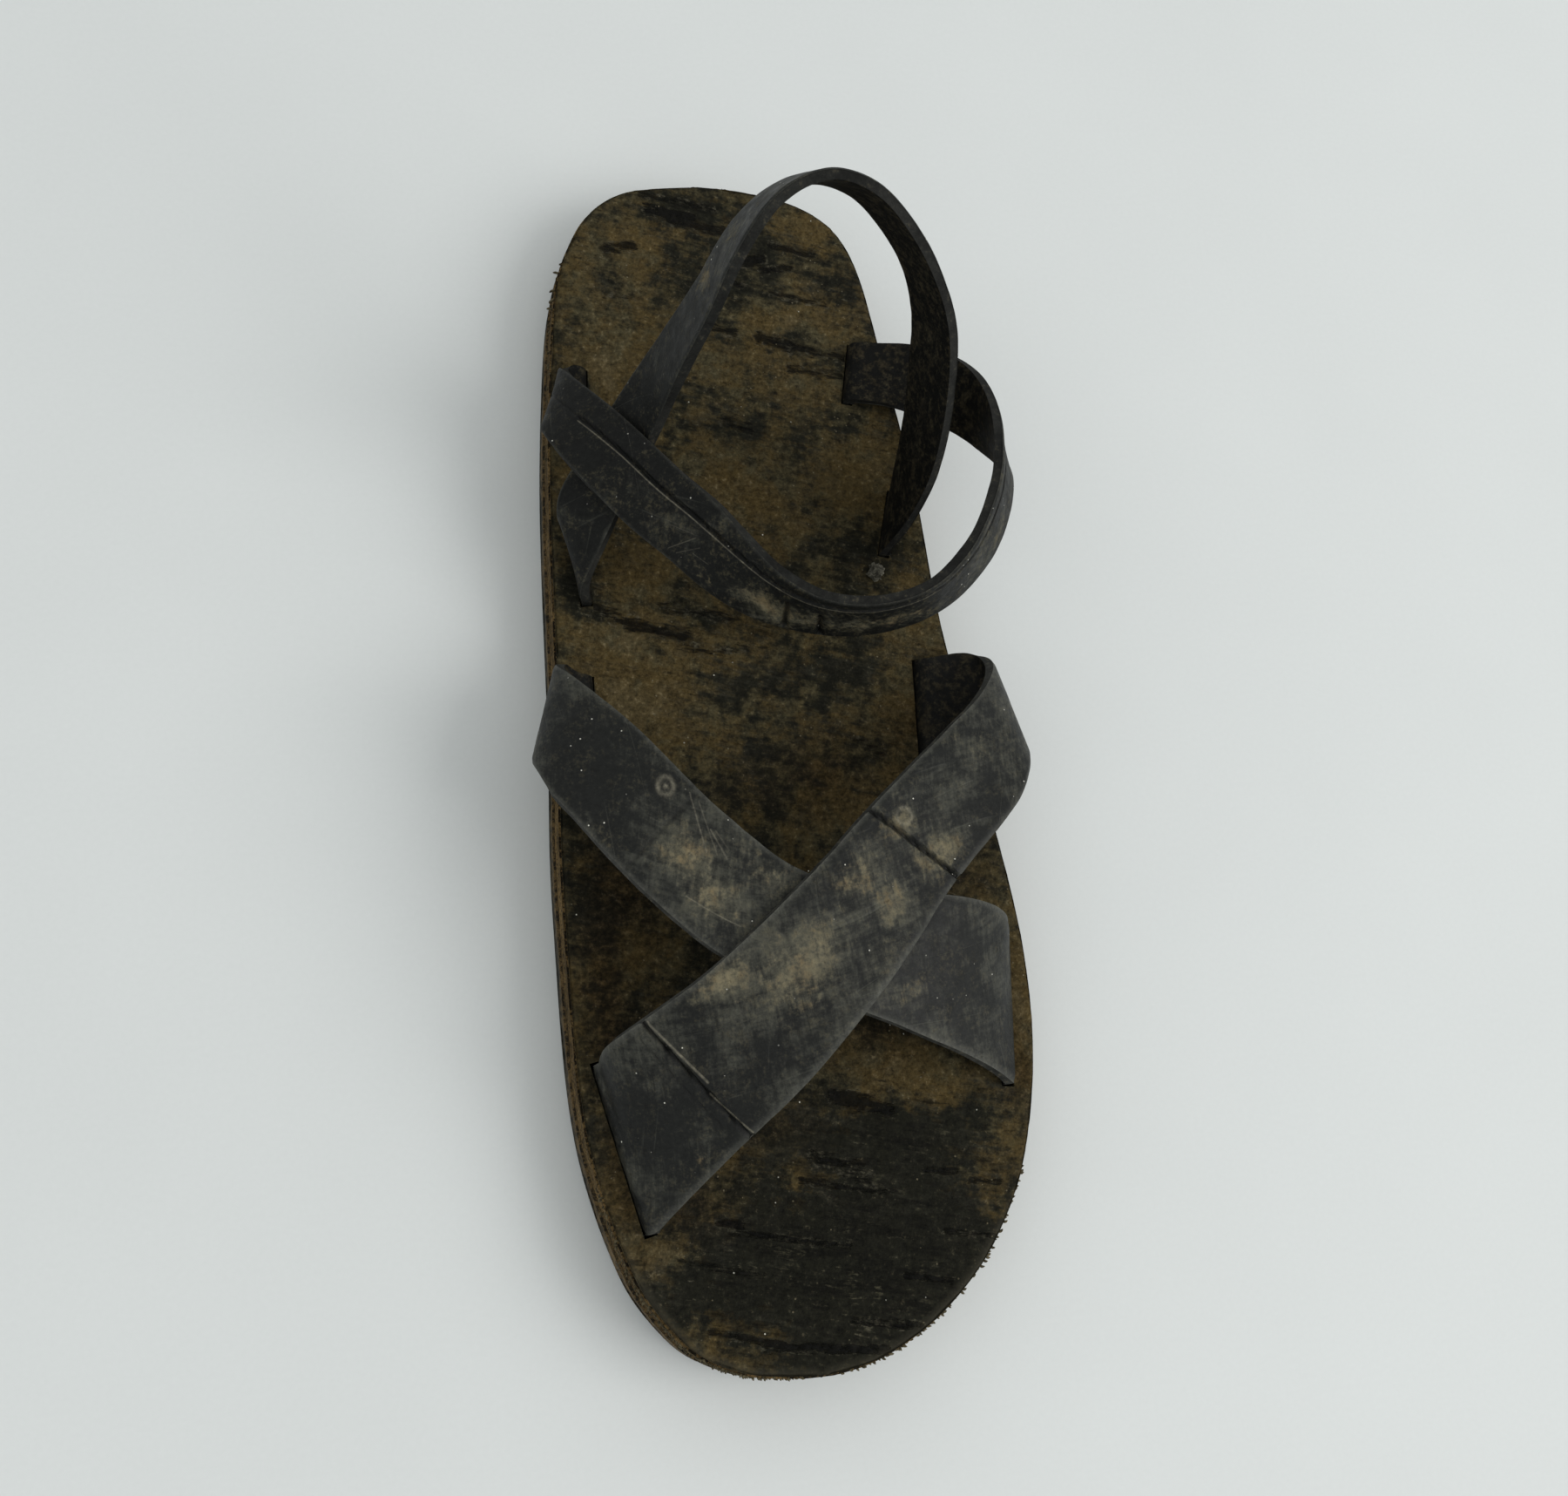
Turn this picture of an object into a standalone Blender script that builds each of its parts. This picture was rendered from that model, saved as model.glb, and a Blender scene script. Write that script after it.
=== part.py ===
"""Tire sandal for the left foot, cut from an old tire and laced with flat rubber bands.

The origin is on the ground at the middle of the sole's length, on the face of the middle rib.
+X points to the outer side of the foot, +Y to the heel and +Z up. Each band is a row of cross lines,
A to B, from the mouth of one slot to the mouth of another.
"""
from collections import namedtuple
from math import atan2, cos, radians, sin

import bmesh
import bpy
from mathutils import Matrix, Vector

MM = 0.001

# Sizes of the sole
SOLE_LENGTH = 275.0 * MM
SOLE_WIDTH = 102.8 * MM
LINER_THICKNESS = 1.6 * MM
PLY_THICKNESS = 8.0 * MM
TREAD_THICKNESS = 7.4 * MM
TOE_SPRING = 4.5 * MM
HEEL_LIFT = 0.8 * MM
SPRING_START = 0.30
LIFT_START = 0.90
EDGE_ROUND = 0.7 * MM
PLY_STAND = 0.5 * MM
TREAD_STAND = 1.0 * MM
TREAD_BEVEL = 1.6 * MM

# Sizes of the tread's grooves, which run the whole length
GROOVE_COUNT = 4
GROOVE_PITCH = 15.0 * MM
GROOVE_WIDTH = 3.0 * MM
GROOVE_DEPTH = 4.0 * MM
GROOVE_MIDDLE = -3.5 * MM

# Sizes of the bands
BAND_THICKNESS = 2.6 * MM
FRONT_BAND_WIDTH = 24.0 * MM
REAR_BAND_WIDTH = 17.0 * MM
FRONT_RISE = 27.0 * MM
ANKLE_RISE = 26.5 * MM
HOOP_RISE = 60.0 * MM
BAND_BITE = 0.7 * MM
BAND_REST = 0.35 * MM
BAND_END_LIFT = 2.5 * MM
FLAT_BEND = 2.0 * MM
STEEP_BEND = 4.0 * MM
SLOT_CLEARANCE = 0.35 * MM

# How finely the shapes are divided
SECTIONS_PER_ROW = 2
BAND_STEP = 4.0 * MM
BAND_STRIPS = 2
BEND_STEPS = 4
CUT_MARGIN = 10.0 * MM

SOLE_THICKNESS = LINER_THICKNESS + PLY_THICKNESS + TREAD_THICKNESS
BAND_LAP = BAND_THICKNESS - BAND_BITE

# Outline of the sole's top, toe to heel. "along" is a share of the length, and "inner" and "outer" are
# shares of the width, from the middle line to the foot's inner and outer side.
Section = namedtuple("Section", "along inner outer")
OUTLINE = (
    Section(0.0000, 0.062, -0.030),
    Section(0.0033, 0.157, 0.034),
    Section(0.0095, 0.220, 0.092),
    Section(0.0220, 0.286, 0.164),
    Section(0.0400, 0.334, 0.237),
    Section(0.0665, 0.385, 0.315),
    Section(0.0960, 0.418, 0.375),
    Section(0.1350, 0.451, 0.431),
    Section(0.1850, 0.479, 0.472),
    Section(0.2500, 0.493, 0.499),
    Section(0.3300, 0.497, 0.495),
    Section(0.4100, 0.499, 0.465),
    Section(0.5000, 0.489, 0.431),
    Section(0.6000, 0.486, 0.388),
    Section(0.7200, 0.480, 0.369),
    Section(0.8200, 0.463, 0.328),
    Section(0.9000, 0.440, 0.298),
    Section(0.9400, 0.403, 0.270),
    Section(0.9670, 0.362, 0.228),
    Section(0.9850, 0.306, 0.158),
    Section(0.9950, 0.235, 0.070),
    Section(1.0000, 0.110, -0.030),
)

# Steps of the sole's side, ground to top: the height above the sole's underside, and how far the wall
# stands out there from the top's outline.
Step = namedtuple("Step", "height out")
WALL_STEPS = (
    Step(0.0, TREAD_STAND - TREAD_BEVEL),
    Step(TREAD_BEVEL, TREAD_STAND),
    Step(TREAD_THICKNESS, TREAD_STAND),
    Step(TREAD_THICKNESS, PLY_STAND),
    Step(TREAD_THICKNESS + PLY_THICKNESS, PLY_STAND),
    Step(TREAD_THICKNESS + PLY_THICKNESS, 0.0),
    Step(SOLE_THICKNESS - EDGE_ROUND, 0.0),
    Step(SOLE_THICKNESS, -EDGE_ROUND),
)

# A slot's mouth: its middle as a share of the sole's length and width, the heading of its line from A to
# B in degrees, its band's width there as a share of the band's, and the angle at which the band leaves.
Slot = namedtuple("Slot", "along across turn width pitch")

# A cross line of a band between its slots: its middle as a share of the sole's length and width, its
# height above the sole as a share of the band's own rise, of the hoop's and of the lap over the other
# band, the heading and lean of the line from A to B in degrees, and its share of the band's width.
Row = namedtuple("Row", "along across rise hoop lap turn lean width")

Band = namedtuple("Band", "start rows end width rise")

OVER_BAND = Band(
    start=Slot(0.013, 0.323, -92, 1.00, 0),
    rows=(
        Row(0.016, 0.409, 0.08, 0, 0, -85, 0, 1.00),
        Row(0.015, 0.464, 0.17, 0, 0, -80, 2, 1.00),
        Row(0.005, 0.486, 0.37, 0, 0, -78, 6, 1.00),
        Row(-0.015, 0.464, 0.59, 0, 0, -76, 5, 1.00),
        Row(-0.040, 0.418, 0.73, 0, 0, -70, 0, 1.00),
        Row(-0.067, 0.342, 0.83, 0, 0.2, -60, -4, 1.00),
        Row(-0.121, 0.184, 0.92, 0, 0.7, -46, -8, 1.03),
        Row(-0.170, 0.062, 0.97, 0, 1, -46, -6, 1.12),
        Row(-0.212, -0.052, 0.95, 0, 1, -47, -5, 1.20),
        Row(-0.252, -0.170, 0.84, 0, 0.7, -49, -5, 1.28),
        Row(-0.283, -0.282, 0.64, 0, 0.3, -53, -5, 1.37),
        Row(-0.310, -0.371, 0.33, 0, 0, -65, -8, 1.51),
    ),
    end=Slot(-0.3255, -0.409, -76, 1.54, 50),
    width=FRONT_BAND_WIDTH,
    rise=FRONT_RISE,
)

UNDER_BAND = Band(
    start=Slot(0.003, -0.427, -92, 1.00, 0),
    rows=(
        Row(0.008, -0.482, 0.09, 0, 0, -97, 1, 1.00),
        Row(0.012, -0.511, 0.20, 0, 0, -103, 4, 1.00),
        Row(0.005, -0.526, 0.39, 0, 0, -106, 7, 1.00),
        Row(-0.011, -0.508, 0.59, 0, 0, -112, 5, 1.00),
        Row(-0.030, -0.478, 0.71, 0, 0, -121, 0, 1.00),
        Row(-0.053, -0.427, 0.80, 0, 0, -127, -2, 1.00),
        Row(-0.081, -0.371, 0.87, 0, 0, -132, -2, 1.00),
        Row(-0.121, -0.282, 0.94, 0, 0, -136, -2, 1.00),
        Row(-0.165, -0.152, 0.96, 0, 0, -134, -3, 1.02),
        Row(-0.188, -0.010, 0.93, 0, 0, -127, -3, 1.08),
        Row(-0.200, 0.126, 0.85, 0, 0, -118, -2, 1.18),
        Row(-0.212, 0.262, 0.66, 0, 0, -112, -3, 1.34),
        Row(-0.222, 0.357, 0.43, 0, 0, -104, -3, 1.42),
        Row(-0.231, 0.412, 0.23, 0, 0, -98, -4, 1.45),
    ),
    end=Slot(-0.2375, 0.438, -95, 1.46, 65),
    width=FRONT_BAND_WIDTH,
    rise=FRONT_RISE,
)

INSTEP_BAND = Band(
    start=Slot(0.288, -0.400, -93, 1.00, 0),
    rows=(
        Row(0.287, -0.446, 0.08, 0, 0, -97, 0, 1.00),
        Row(0.282, -0.465, 0.20, 0, 0, -105, 3, 1.00),
        Row(0.271, -0.472, 0.38, 0, 0, -112, 3, 1.00),
        Row(0.250, -0.452, 0.56, 0, 0, -118, -2, 1.00),
        Row(0.222, -0.405, 0.67, 0, 0.7, -126, -10, 1.00),
        Row(0.194, -0.352, 0.75, 0, 1, -134, -18, 1.00),
        Row(0.165, -0.292, 0.84, 0, 0.7, -137, -29, 1.00),
        Row(0.137, -0.218, 0.93, 0, 0, -134, -40, 1.00),
        Row(0.109, -0.153, 0.96, 0, 0, -130, -52, 1.00),
        Row(0.084, -0.074, 0.95, 0, 0, -125, -70, 1.00),
        Row(0.068, 0.026, 0.94, 0, 0, -105, -83, 1.00),
        Row(0.063, 0.122, 0.96, 0, 0, -40, -81, 1.00),
        Row(0.067, 0.210, 0.99, 0, 0, -10, -73, 1.00),
        Row(0.080, 0.300, 1.03, 0, 0, 0, -66, 1.00),
        Row(0.113, 0.394, 1.06, 0, 0, 5, -60, 1.00),
        Row(0.153, 0.455, 1.04, 0, 0, 12, -57, 1.00),
        Row(0.196, 0.494, 0.92, 0, 0, 20, -60, 1.00),
        Row(0.238, 0.502, 0.67, 0, 0, -40, -76, 1.00),
        Row(0.273, 0.484, 0.44, 0, 0, -96, -62, 1.00),
        Row(0.299, 0.438, 0.24, 0, 0, -104, -36, 1.00),
        Row(0.314, 0.374, 0.12, 0, 0, -104, -9, 1.00),
        Row(0.319, 0.310, 0.08, 0, 0, -102, 0, 0.96),
    ),
    end=Slot(0.322, 0.238, -101, 0.94, 0),
    width=REAR_BAND_WIDTH,
    rise=ANKLE_RISE,
)

HEEL_BAND = Band(
    start=Slot(0.138, -0.420, -87, 1.00, 60),
    rows=(
        Row(0.143, -0.448, 0.25, 0, 0, -76, -5, 1.00),
        Row(0.165, -0.431, 0.46, 0, 0, -57, 8, 0.97),
        Row(0.193, -0.387, 0.61, 0, 0, -56, 12, 0.90),
        Row(0.221, -0.342, 0.70, 0, 0, -60, 16, 0.87),
        Row(0.244, -0.300, 0.90, 0, 0, -73, 14, 0.90),
        Row(0.255, -0.262, 0.90, 0.32, 0, -86, 28, 0.98),
        Row(0.268, -0.222, 0.90, 0.59, 0, -92, 34, 1.00),
        Row(0.287, -0.184, 0.90, 0.80, 0, -95, 43, 1.00),
        Row(0.307, -0.122, 0.90, 0.93, 0, -97, 55, 1.00),
        Row(0.317, -0.040, 0.90, 0.98, 0, -92, 60, 1.00),
        Row(0.313, 0.056, 0.90, 0.94, 0, -87, 59, 1.00),
        Row(0.300, 0.137, 0.90, 0.83, 0, -83, 56, 1.00),
        Row(0.284, 0.203, 0.90, 0.70, 0, -79, 50, 1.00),
        Row(0.263, 0.253, 0.90, 0.54, 0, -73, 43, 1.00),
        Row(0.235, 0.280, 0.86, 0.34, 0, -72, 32, 1.00),
        Row(0.207, 0.293, 0.80, 0.13, 0, -77, 19, 1.00),
        Row(0.191, 0.295, 0.58, 0, 0, -88, 5, 1.00),
    ),
    end=Slot(0.1805, 0.292, -104, 1.00, 80),
    width=REAR_BAND_WIDTH,
    rise=ANKLE_RISE,
)

BANDS = (OVER_BAND, UNDER_BAND, INSTEP_BAND, HEEL_BAND)


def smooth(points, at):
    """Catmull-Rom value at a place along a list of points, counted in points."""
    index = min(int(at), len(points) - 2)
    share = at - index
    p1 = points[index]
    p2 = points[index + 1]
    p0 = points[index - 1] if index > 0 else p1 * 2.0 - p2
    p3 = points[index + 2] if index + 2 < len(points) else p2 * 2.0 - p1
    bend = (p1 * 3.0 - p0 - p2 * 3.0 + p3) * share ** 3
    turn = (p0 * 2.0 - p1 * 5.0 + p2 * 4.0 - p3) * share ** 2
    return (bend + turn + (p2 - p0) * share + p1 * 2.0) * 0.5


def underside(y):
    """Height of the sole's underside over the ground: it lifts at the toe and a little at the heel."""
    along = y / SOLE_LENGTH + 0.5
    if along < SPRING_START:
        return TOE_SPRING * ((SPRING_START - along) / SPRING_START) ** 2
    if along > LIFT_START:
        return HEEL_LIFT * ((along - LIFT_START) / (1.0 - LIFT_START)) ** 2
    return 0.0


def sole_top(y):
    return underside(y) + SOLE_THICKNESS


def outline_sides():
    """The inner and the outer side of the sole's outline, each a list of points from toe to heel."""
    rows = [Vector(row) for row in OUTLINE]
    count = (len(rows) - 1) * SECTIONS_PER_ROW
    inner = []
    outer = []
    for index in range(count + 1):
        along, inner_share, outer_share = smooth(rows, index / SECTIONS_PER_ROW)
        y = (along - 0.5) * SOLE_LENGTH
        inner.append(Vector((-inner_share * SOLE_WIDTH, y)))
        outer.append(Vector((outer_share * SOLE_WIDTH, y)))
    return inner, outer


def outward(ring, index):
    """Unit vector that points out of a closed ring, which runs anticlockwise, at one of its points."""
    run = (ring[(index + 1) % len(ring)] - ring[index - 1]).normalized()
    return Vector((run.y, -run.x))


def add_material(name, color, roughness):
    material = bpy.data.materials.new(name)
    material.use_nodes = True
    shader = material.node_tree.nodes["Principled BSDF"]
    shader.inputs["Base Color"].default_value = (*color, 1.0)
    shader.inputs["Roughness"].default_value = roughness
    shader.inputs["Metallic"].default_value = 0.0
    material.diffuse_color = (*color, 1.0)
    return material


def add_object(name, mesh, collection):
    item = bpy.data.objects.new(name, mesh)
    collection.objects.link(item)
    return item


def hide_guide(item):
    item.hide_render = True
    item.display_type = "WIRE"


def mesh_from(name, points, faces):
    mesh = bpy.data.meshes.new(name)
    mesh.from_pydata(points, [], faces)
    mesh.update()
    return mesh


def sole_mesh():
    """A loft up the steps of the side, closed by a strip of faces under and over."""
    inner, outer = outline_sides()
    ring = outer + inner[::-1]
    count = len(ring)
    last = len(inner) - 1
    points = []
    for step in WALL_STEPS:
        for index, place in enumerate(ring):
            x, y = place + outward(ring, index) * step.out
            points.append((x, y, underside(place.y) + step.height))
    faces = []
    for level in range(len(WALL_STEPS) - 1):
        low = level * count
        high = low + count
        for index in range(count):
            after = (index + 1) % count
            faces.append((low + index, low + after, high + after, high + index))
    top = (len(WALL_STEPS) - 1) * count
    for index in range(last):
        across = count - 1 - index
        faces.append((index, across, across - 1, index + 1))
        faces.append((top + index, top + index + 1, top + across - 1, top + across))
    mesh = mesh_from("sole", points, faces)
    shell = bmesh.new()
    shell.from_mesh(mesh)
    bmesh.ops.triangulate(shell, faces=shell.faces)
    bmesh.ops.recalc_face_normals(shell, faces=shell.faces)
    shell.to_mesh(mesh)
    shell.free()
    return mesh


def mouth(slot):
    """The middle of a slot's mouth and the unit vector along its line, both flat."""
    middle = Vector((slot.across * SOLE_WIDTH, slot.along * SOLE_LENGTH))
    line = Vector((cos(radians(slot.turn)), sin(radians(slot.turn))))
    return middle, line


def band_end(slot, width, toward):
    """Cross lines of a band's end: up its slot, then round the bend towards the first free line."""
    middle, line = mouth(slot)
    side = Vector((line.y, -line.x))
    if side.dot(toward - middle) < 0.0:
        side = -side
    flat = slot.pitch == 0
    radius = FLAT_BEND if flat else STEEP_BEND
    bend_start = (BAND_REST + BAND_THICKNESS / 2.0 - radius) if flat else BAND_REST
    half = line * slot.width * width / 2.0
    places = [(0.0, None)]
    for step in range(BEND_STEPS + 1):
        angle = radians(90.0 - slot.pitch) * step / BEND_STEPS
        places.append((radius * (1.0 - cos(angle)), bend_start + radius * sin(angle)))
    lines = []
    for out, rise in places:
        ends = []
        for corner in (middle - half, middle + half):
            x, y = corner + side * out
            height = BAND_END_LIFT + underside(corner.y) if rise is None else sole_top(corner.y) + rise
            ends.append(Vector((x, y, height)))
        lines.append(ends)
    return lines


def free_line(row, band):
    """Cross line of a band where it is clear of the sole."""
    rise = row.rise * band.rise + row.hoop * HOOP_RISE + row.lap * BAND_LAP
    middle = Vector((row.across * SOLE_WIDTH, row.along * SOLE_LENGTH, SOLE_THICKNESS + rise))
    turn = radians(row.turn)
    lean = radians(row.lean)
    line = Vector((cos(turn) * cos(lean), sin(turn) * cos(lean), sin(lean)))
    half = line * row.width * band.width / 2.0
    return [middle - half, middle + half]


def band_lines(band):
    """All cross lines of a band, smoothed between its two ends."""
    free = [free_line(row, band) for row in band.rows]
    first = (free[0][0] + free[0][1]).xy / 2.0
    last = (free[-1][0] + free[-1][1]).xy / 2.0
    start = band_end(band.start, band.width, first)
    end = band_end(band.end, band.width, last)[::-1]
    knots = start[-2:] + free + end[:2]
    sides = [[knot[side] for knot in knots] for side in (0, 1)]
    lines = list(start[:-1])
    for index in range(1, len(knots) - 2):
        here = (knots[index][0] + knots[index][1]) / 2.0
        there = (knots[index + 1][0] + knots[index + 1][1]) / 2.0
        steps = max(1, round((there - here).length / BAND_STEP))
        for step in range(steps):
            at = index + step / steps
            lines.append([smooth(side, at) for side in sides])
    return lines + end


def band_object(name, band, collection):
    """An open strip through a band's cross lines, thickened both ways."""
    points = []
    faces = []
    across = BAND_STRIPS + 1
    lines = band_lines(band)
    for a_end, b_end in lines:
        points += [a_end.lerp(b_end, step / BAND_STRIPS) for step in range(across)]
    for row in range(len(lines) - 1):
        for step in range(BAND_STRIPS):
            corner = row * across + step
            faces.append((corner, corner + 1, corner + across + 1, corner + across))
    strip = add_object(name, mesh_from(name, points, faces), collection)
    wall = strip.modifiers.new("Thickness", "SOLIDIFY")
    wall.thickness = BAND_THICKNESS
    wall.offset = 0.0
    return strip


def box_cutter(name, size, matrix, collection):
    mesh = bpy.data.meshes.new(name)
    shape = bmesh.new()
    bmesh.ops.create_cube(shape, size=1.0, matrix=Matrix.Diagonal((*size, 1.0)))
    shape.to_mesh(mesh)
    shape.free()
    cutter = add_object(name, mesh, collection)
    cutter.matrix_world = matrix
    hide_guide(cutter)
    return cutter


def slot_cutter(name, slot, width, collection):
    """An upright slit that a band's end fits with the slot's clearance all round."""
    middle, line = mouth(slot)
    size = (
        slot.width * width + 2.0 * SLOT_CLEARANCE,
        BAND_THICKNESS + 2.0 * SLOT_CLEARANCE,
        SOLE_THICKNESS + TOE_SPRING + 2.0 * CUT_MARGIN,
    )
    place = Vector((middle.x, middle.y, (SOLE_THICKNESS + TOE_SPRING) / 2.0))
    matrix = Matrix.Translation(place) @ Matrix.Rotation(atan2(line.y, line.x), 4, "Z")
    return box_cutter(name, size, matrix, collection)


def groove_cutter(name, x, collection):
    """An upright sheet that follows the underside's lift, thickened to the groove's width."""
    inner, outer = outline_sides()
    places = [point.y for point in inner]
    reach = [places[0] - CUT_MARGIN] + places[1:-1] + [places[-1] + CUT_MARGIN]
    points = []
    for y, edge in zip(reach, places):
        points.append((x, y, underside(edge) - CUT_MARGIN))
        points.append((x, y, underside(edge) + GROOVE_DEPTH))
    faces = [(2 * row, 2 * row + 1, 2 * row + 3, 2 * row + 2) for row in range(len(places) - 1)]
    cutter = add_object(name, mesh_from(name, points, faces), collection)
    wall = cutter.modifiers.new("Width", "SOLIDIFY")
    wall.thickness = GROOVE_WIDTH
    wall.offset = 0.0
    hide_guide(cutter)
    return cutter


def cut_all(item, tools):
    """One cut with everything in a collection, as a row of separate cuts leaves open edges here."""
    step = item.modifiers.new(tools.name, "BOOLEAN")
    step.operation = "DIFFERENCE"
    step.solver = "EXACT"
    step.operand_type = "COLLECTION"
    step.collection = tools


def join(item, other):
    step = item.modifiers.new(other.name, "BOOLEAN")
    step.operation = "UNION"
    step.solver = "EXACT"
    step.object = other


def add_sole(parts, cutters):
    sole = add_object("sole", sole_mesh(), parts)
    tools = bpy.data.collections.new("sole_cutters")
    cutters.children.link(tools)
    for index, band in enumerate(BANDS):
        slot_cutter(f"slot_{index + 1}_start", band.start, band.width, tools)
        slot_cutter(f"slot_{index + 1}_end", band.end, band.width, tools)
    for index in range(GROOVE_COUNT):
        x = GROOVE_MIDDLE + (index - (GROOVE_COUNT - 1) / 2.0) * GROOVE_PITCH
        groove_cutter(f"groove_{index + 1}", x, tools)
    cut_all(sole, tools)
    sole.data.materials.append(add_material("sole_rubber", (0.030, 0.026, 0.020), 0.85))
    return sole


def add_straps(name, over, under, material, parts, cutters):
    """Two crossing bands in one solid."""
    straps = band_object(name, over, parts)
    guide = band_object(f"{name}_under", under, cutters)
    hide_guide(guide)
    join(straps, guide)
    straps.data.materials.append(material)
    return straps


def main():
    for item in list(bpy.data.objects):
        bpy.data.objects.remove(item, do_unlink=True)
    scene = bpy.context.scene
    parts = bpy.data.collections.new("tire_sandal")
    cutters = bpy.data.collections.new("cutters")
    scene.collection.children.link(parts)
    scene.collection.children.link(cutters)
    add_sole(parts, cutters)
    rubber = add_material("band_rubber", (0.022, 0.024, 0.027), 0.60)
    add_straps("front_straps", OVER_BAND, UNDER_BAND, rubber, parts, cutters)
    add_straps("rear_straps", INSTEP_BAND, HEEL_BAND, rubber, parts, cutters)


main()
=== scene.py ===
"""Looks of a left tire sandal: a sole cut from an old tire and four flat rubber bands, worn and dusty.

It loads the sandal's solids as a frame, models each visible piece in their place, gives it its finish,
and sets a plain stage. Lengths are in metres, +X points to the outer side of the foot, +Y to the heel
and +Z up, and the origin is on the ground under the middle of the sole.
"""
from collections import namedtuple
from math import atan2, cos, pi, radians, sin
from random import Random

import bmesh
import bpy
import numpy as np
from bpy.props import FloatProperty, FloatVectorProperty, PointerProperty
from mathutils import Matrix, Vector, noise


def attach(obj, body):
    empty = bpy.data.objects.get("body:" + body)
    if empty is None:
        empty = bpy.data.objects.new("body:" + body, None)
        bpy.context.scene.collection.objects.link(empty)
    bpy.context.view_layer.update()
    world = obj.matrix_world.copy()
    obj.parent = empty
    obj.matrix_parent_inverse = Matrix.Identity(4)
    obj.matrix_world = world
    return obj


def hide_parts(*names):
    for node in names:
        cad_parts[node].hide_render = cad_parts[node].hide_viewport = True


bl_info = {
    "name": "Tire Sandal",
    "version": (1, 0, 0),
    "blender": (4, 5, 0),
    "location": "3D View > Sidebar > Sandal",
    "description": "Models the sole and the bands of a tire sandal, and a plain stage for it",
    "category": "Object",
}

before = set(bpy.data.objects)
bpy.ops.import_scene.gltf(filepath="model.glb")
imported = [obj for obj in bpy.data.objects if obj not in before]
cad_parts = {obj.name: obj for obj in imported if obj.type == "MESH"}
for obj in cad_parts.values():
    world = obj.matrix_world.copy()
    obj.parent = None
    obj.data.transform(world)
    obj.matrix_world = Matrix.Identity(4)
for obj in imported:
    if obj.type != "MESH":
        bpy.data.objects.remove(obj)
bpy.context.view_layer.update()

MM = 0.001

# How finely the pieces are divided
SECTIONS_PER_ROW = 2
SOLE_COLUMNS = 22
SOLE_LEVELS = 2
BAND_STEP = 4.0 * MM
BAND_COLUMNS = 6
BAND_LEVELS = 3
BEND_STEPS = 4

# Sizes that the tables below count from
SPRING_START = 0.30
LIFT_START = 0.90
PLY_STAND = 0.5 * MM
TREAD_STAND = 1.0 * MM
GROOVE_COUNT = 4
GROOVE_PITCH = 15.0 * MM
GROOVE_WIDTH = 3.0 * MM
GROOVE_DEPTH = 4.0 * MM
GROOVE_MIDDLE = -3.5 * MM
GROOVE_OVERRUN = 10.0 * MM
GROOVE_STEPS = 40
BAND_BITE = 0.7 * MM
BAND_REST = 0.35 * MM
BAND_END_LIFT = 2.5 * MM
FLAT_BEND = 2.0 * MM
STEEP_BEND = 4.0 * MM
SLOT_CLEARANCE = 0.35 * MM
SLOT_TOOL_HEIGHT = 0.08
LINER_GRIP = 0.12 * MM
RIM_ROUNDING = 0.7 * MM
RIM_PALE = 2.2 * MM
WALL_REACH = 1.6 * MM
WALL_WAVE = 0.35 * MM
WALL_WAVES_PER_METRE = 90.0
TREAD_BEVEL = 1.2 * MM
FRAY_RADIUS = 0.26 * MM
FRAY_ROOT = 0.5 * MM
FRAY_SEED = 7
MUD_RADIUS = 2.7 * MM
MUD_PLACE = (25.4 * MM, 37.2 * MM, 0.9 * MM)

# The stage: its floor, its lamp and the camera's place, aim and angles
FLOOR_SIZE = 6.0
LAMP_PLACE = (1.35, -0.55, 1.35)
LAMP_SIZE = 1.3
CAMERA_PLACE = (-91.4, -100.4, 375.9)
CAMERA_AIM = (-1.5, -6.0, 22.0)
CAMERA_TURN = -1.485
CAMERA_STEEPNESS = 75.0

# Outline of the sole's top, toe to heel, in shares of its length and width
Section = namedtuple("Section", "along inner outer")
OUTLINE = (
    Section(0.0000, 0.062, -0.030),
    Section(0.0033, 0.157, 0.034),
    Section(0.0095, 0.220, 0.092),
    Section(0.0220, 0.286, 0.164),
    Section(0.0400, 0.334, 0.237),
    Section(0.0665, 0.385, 0.315),
    Section(0.0960, 0.418, 0.375),
    Section(0.1350, 0.451, 0.431),
    Section(0.1850, 0.479, 0.472),
    Section(0.2500, 0.493, 0.499),
    Section(0.3300, 0.497, 0.495),
    Section(0.4100, 0.499, 0.465),
    Section(0.5000, 0.489, 0.431),
    Section(0.6000, 0.486, 0.388),
    Section(0.7200, 0.480, 0.369),
    Section(0.8200, 0.463, 0.328),
    Section(0.9000, 0.440, 0.298),
    Section(0.9400, 0.403, 0.270),
    Section(0.9670, 0.362, 0.228),
    Section(0.9850, 0.306, 0.158),
    Section(0.9950, 0.235, 0.070),
    Section(1.0000, 0.110, -0.030),
)

# A slot's mouth and a free cross line of a band, as in the sandal's source: places in shares of the sole's
# length and width, heights in shares of the rises, angles in degrees, widths in shares of the band's.
Slot = namedtuple("Slot", "along across turn width pitch")
Row = namedtuple("Row", "along across rise turn lean width lap hoop", defaults=(1.0, 0.0, 0.0))
Band = namedtuple("Band", "name start rows end front")

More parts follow.
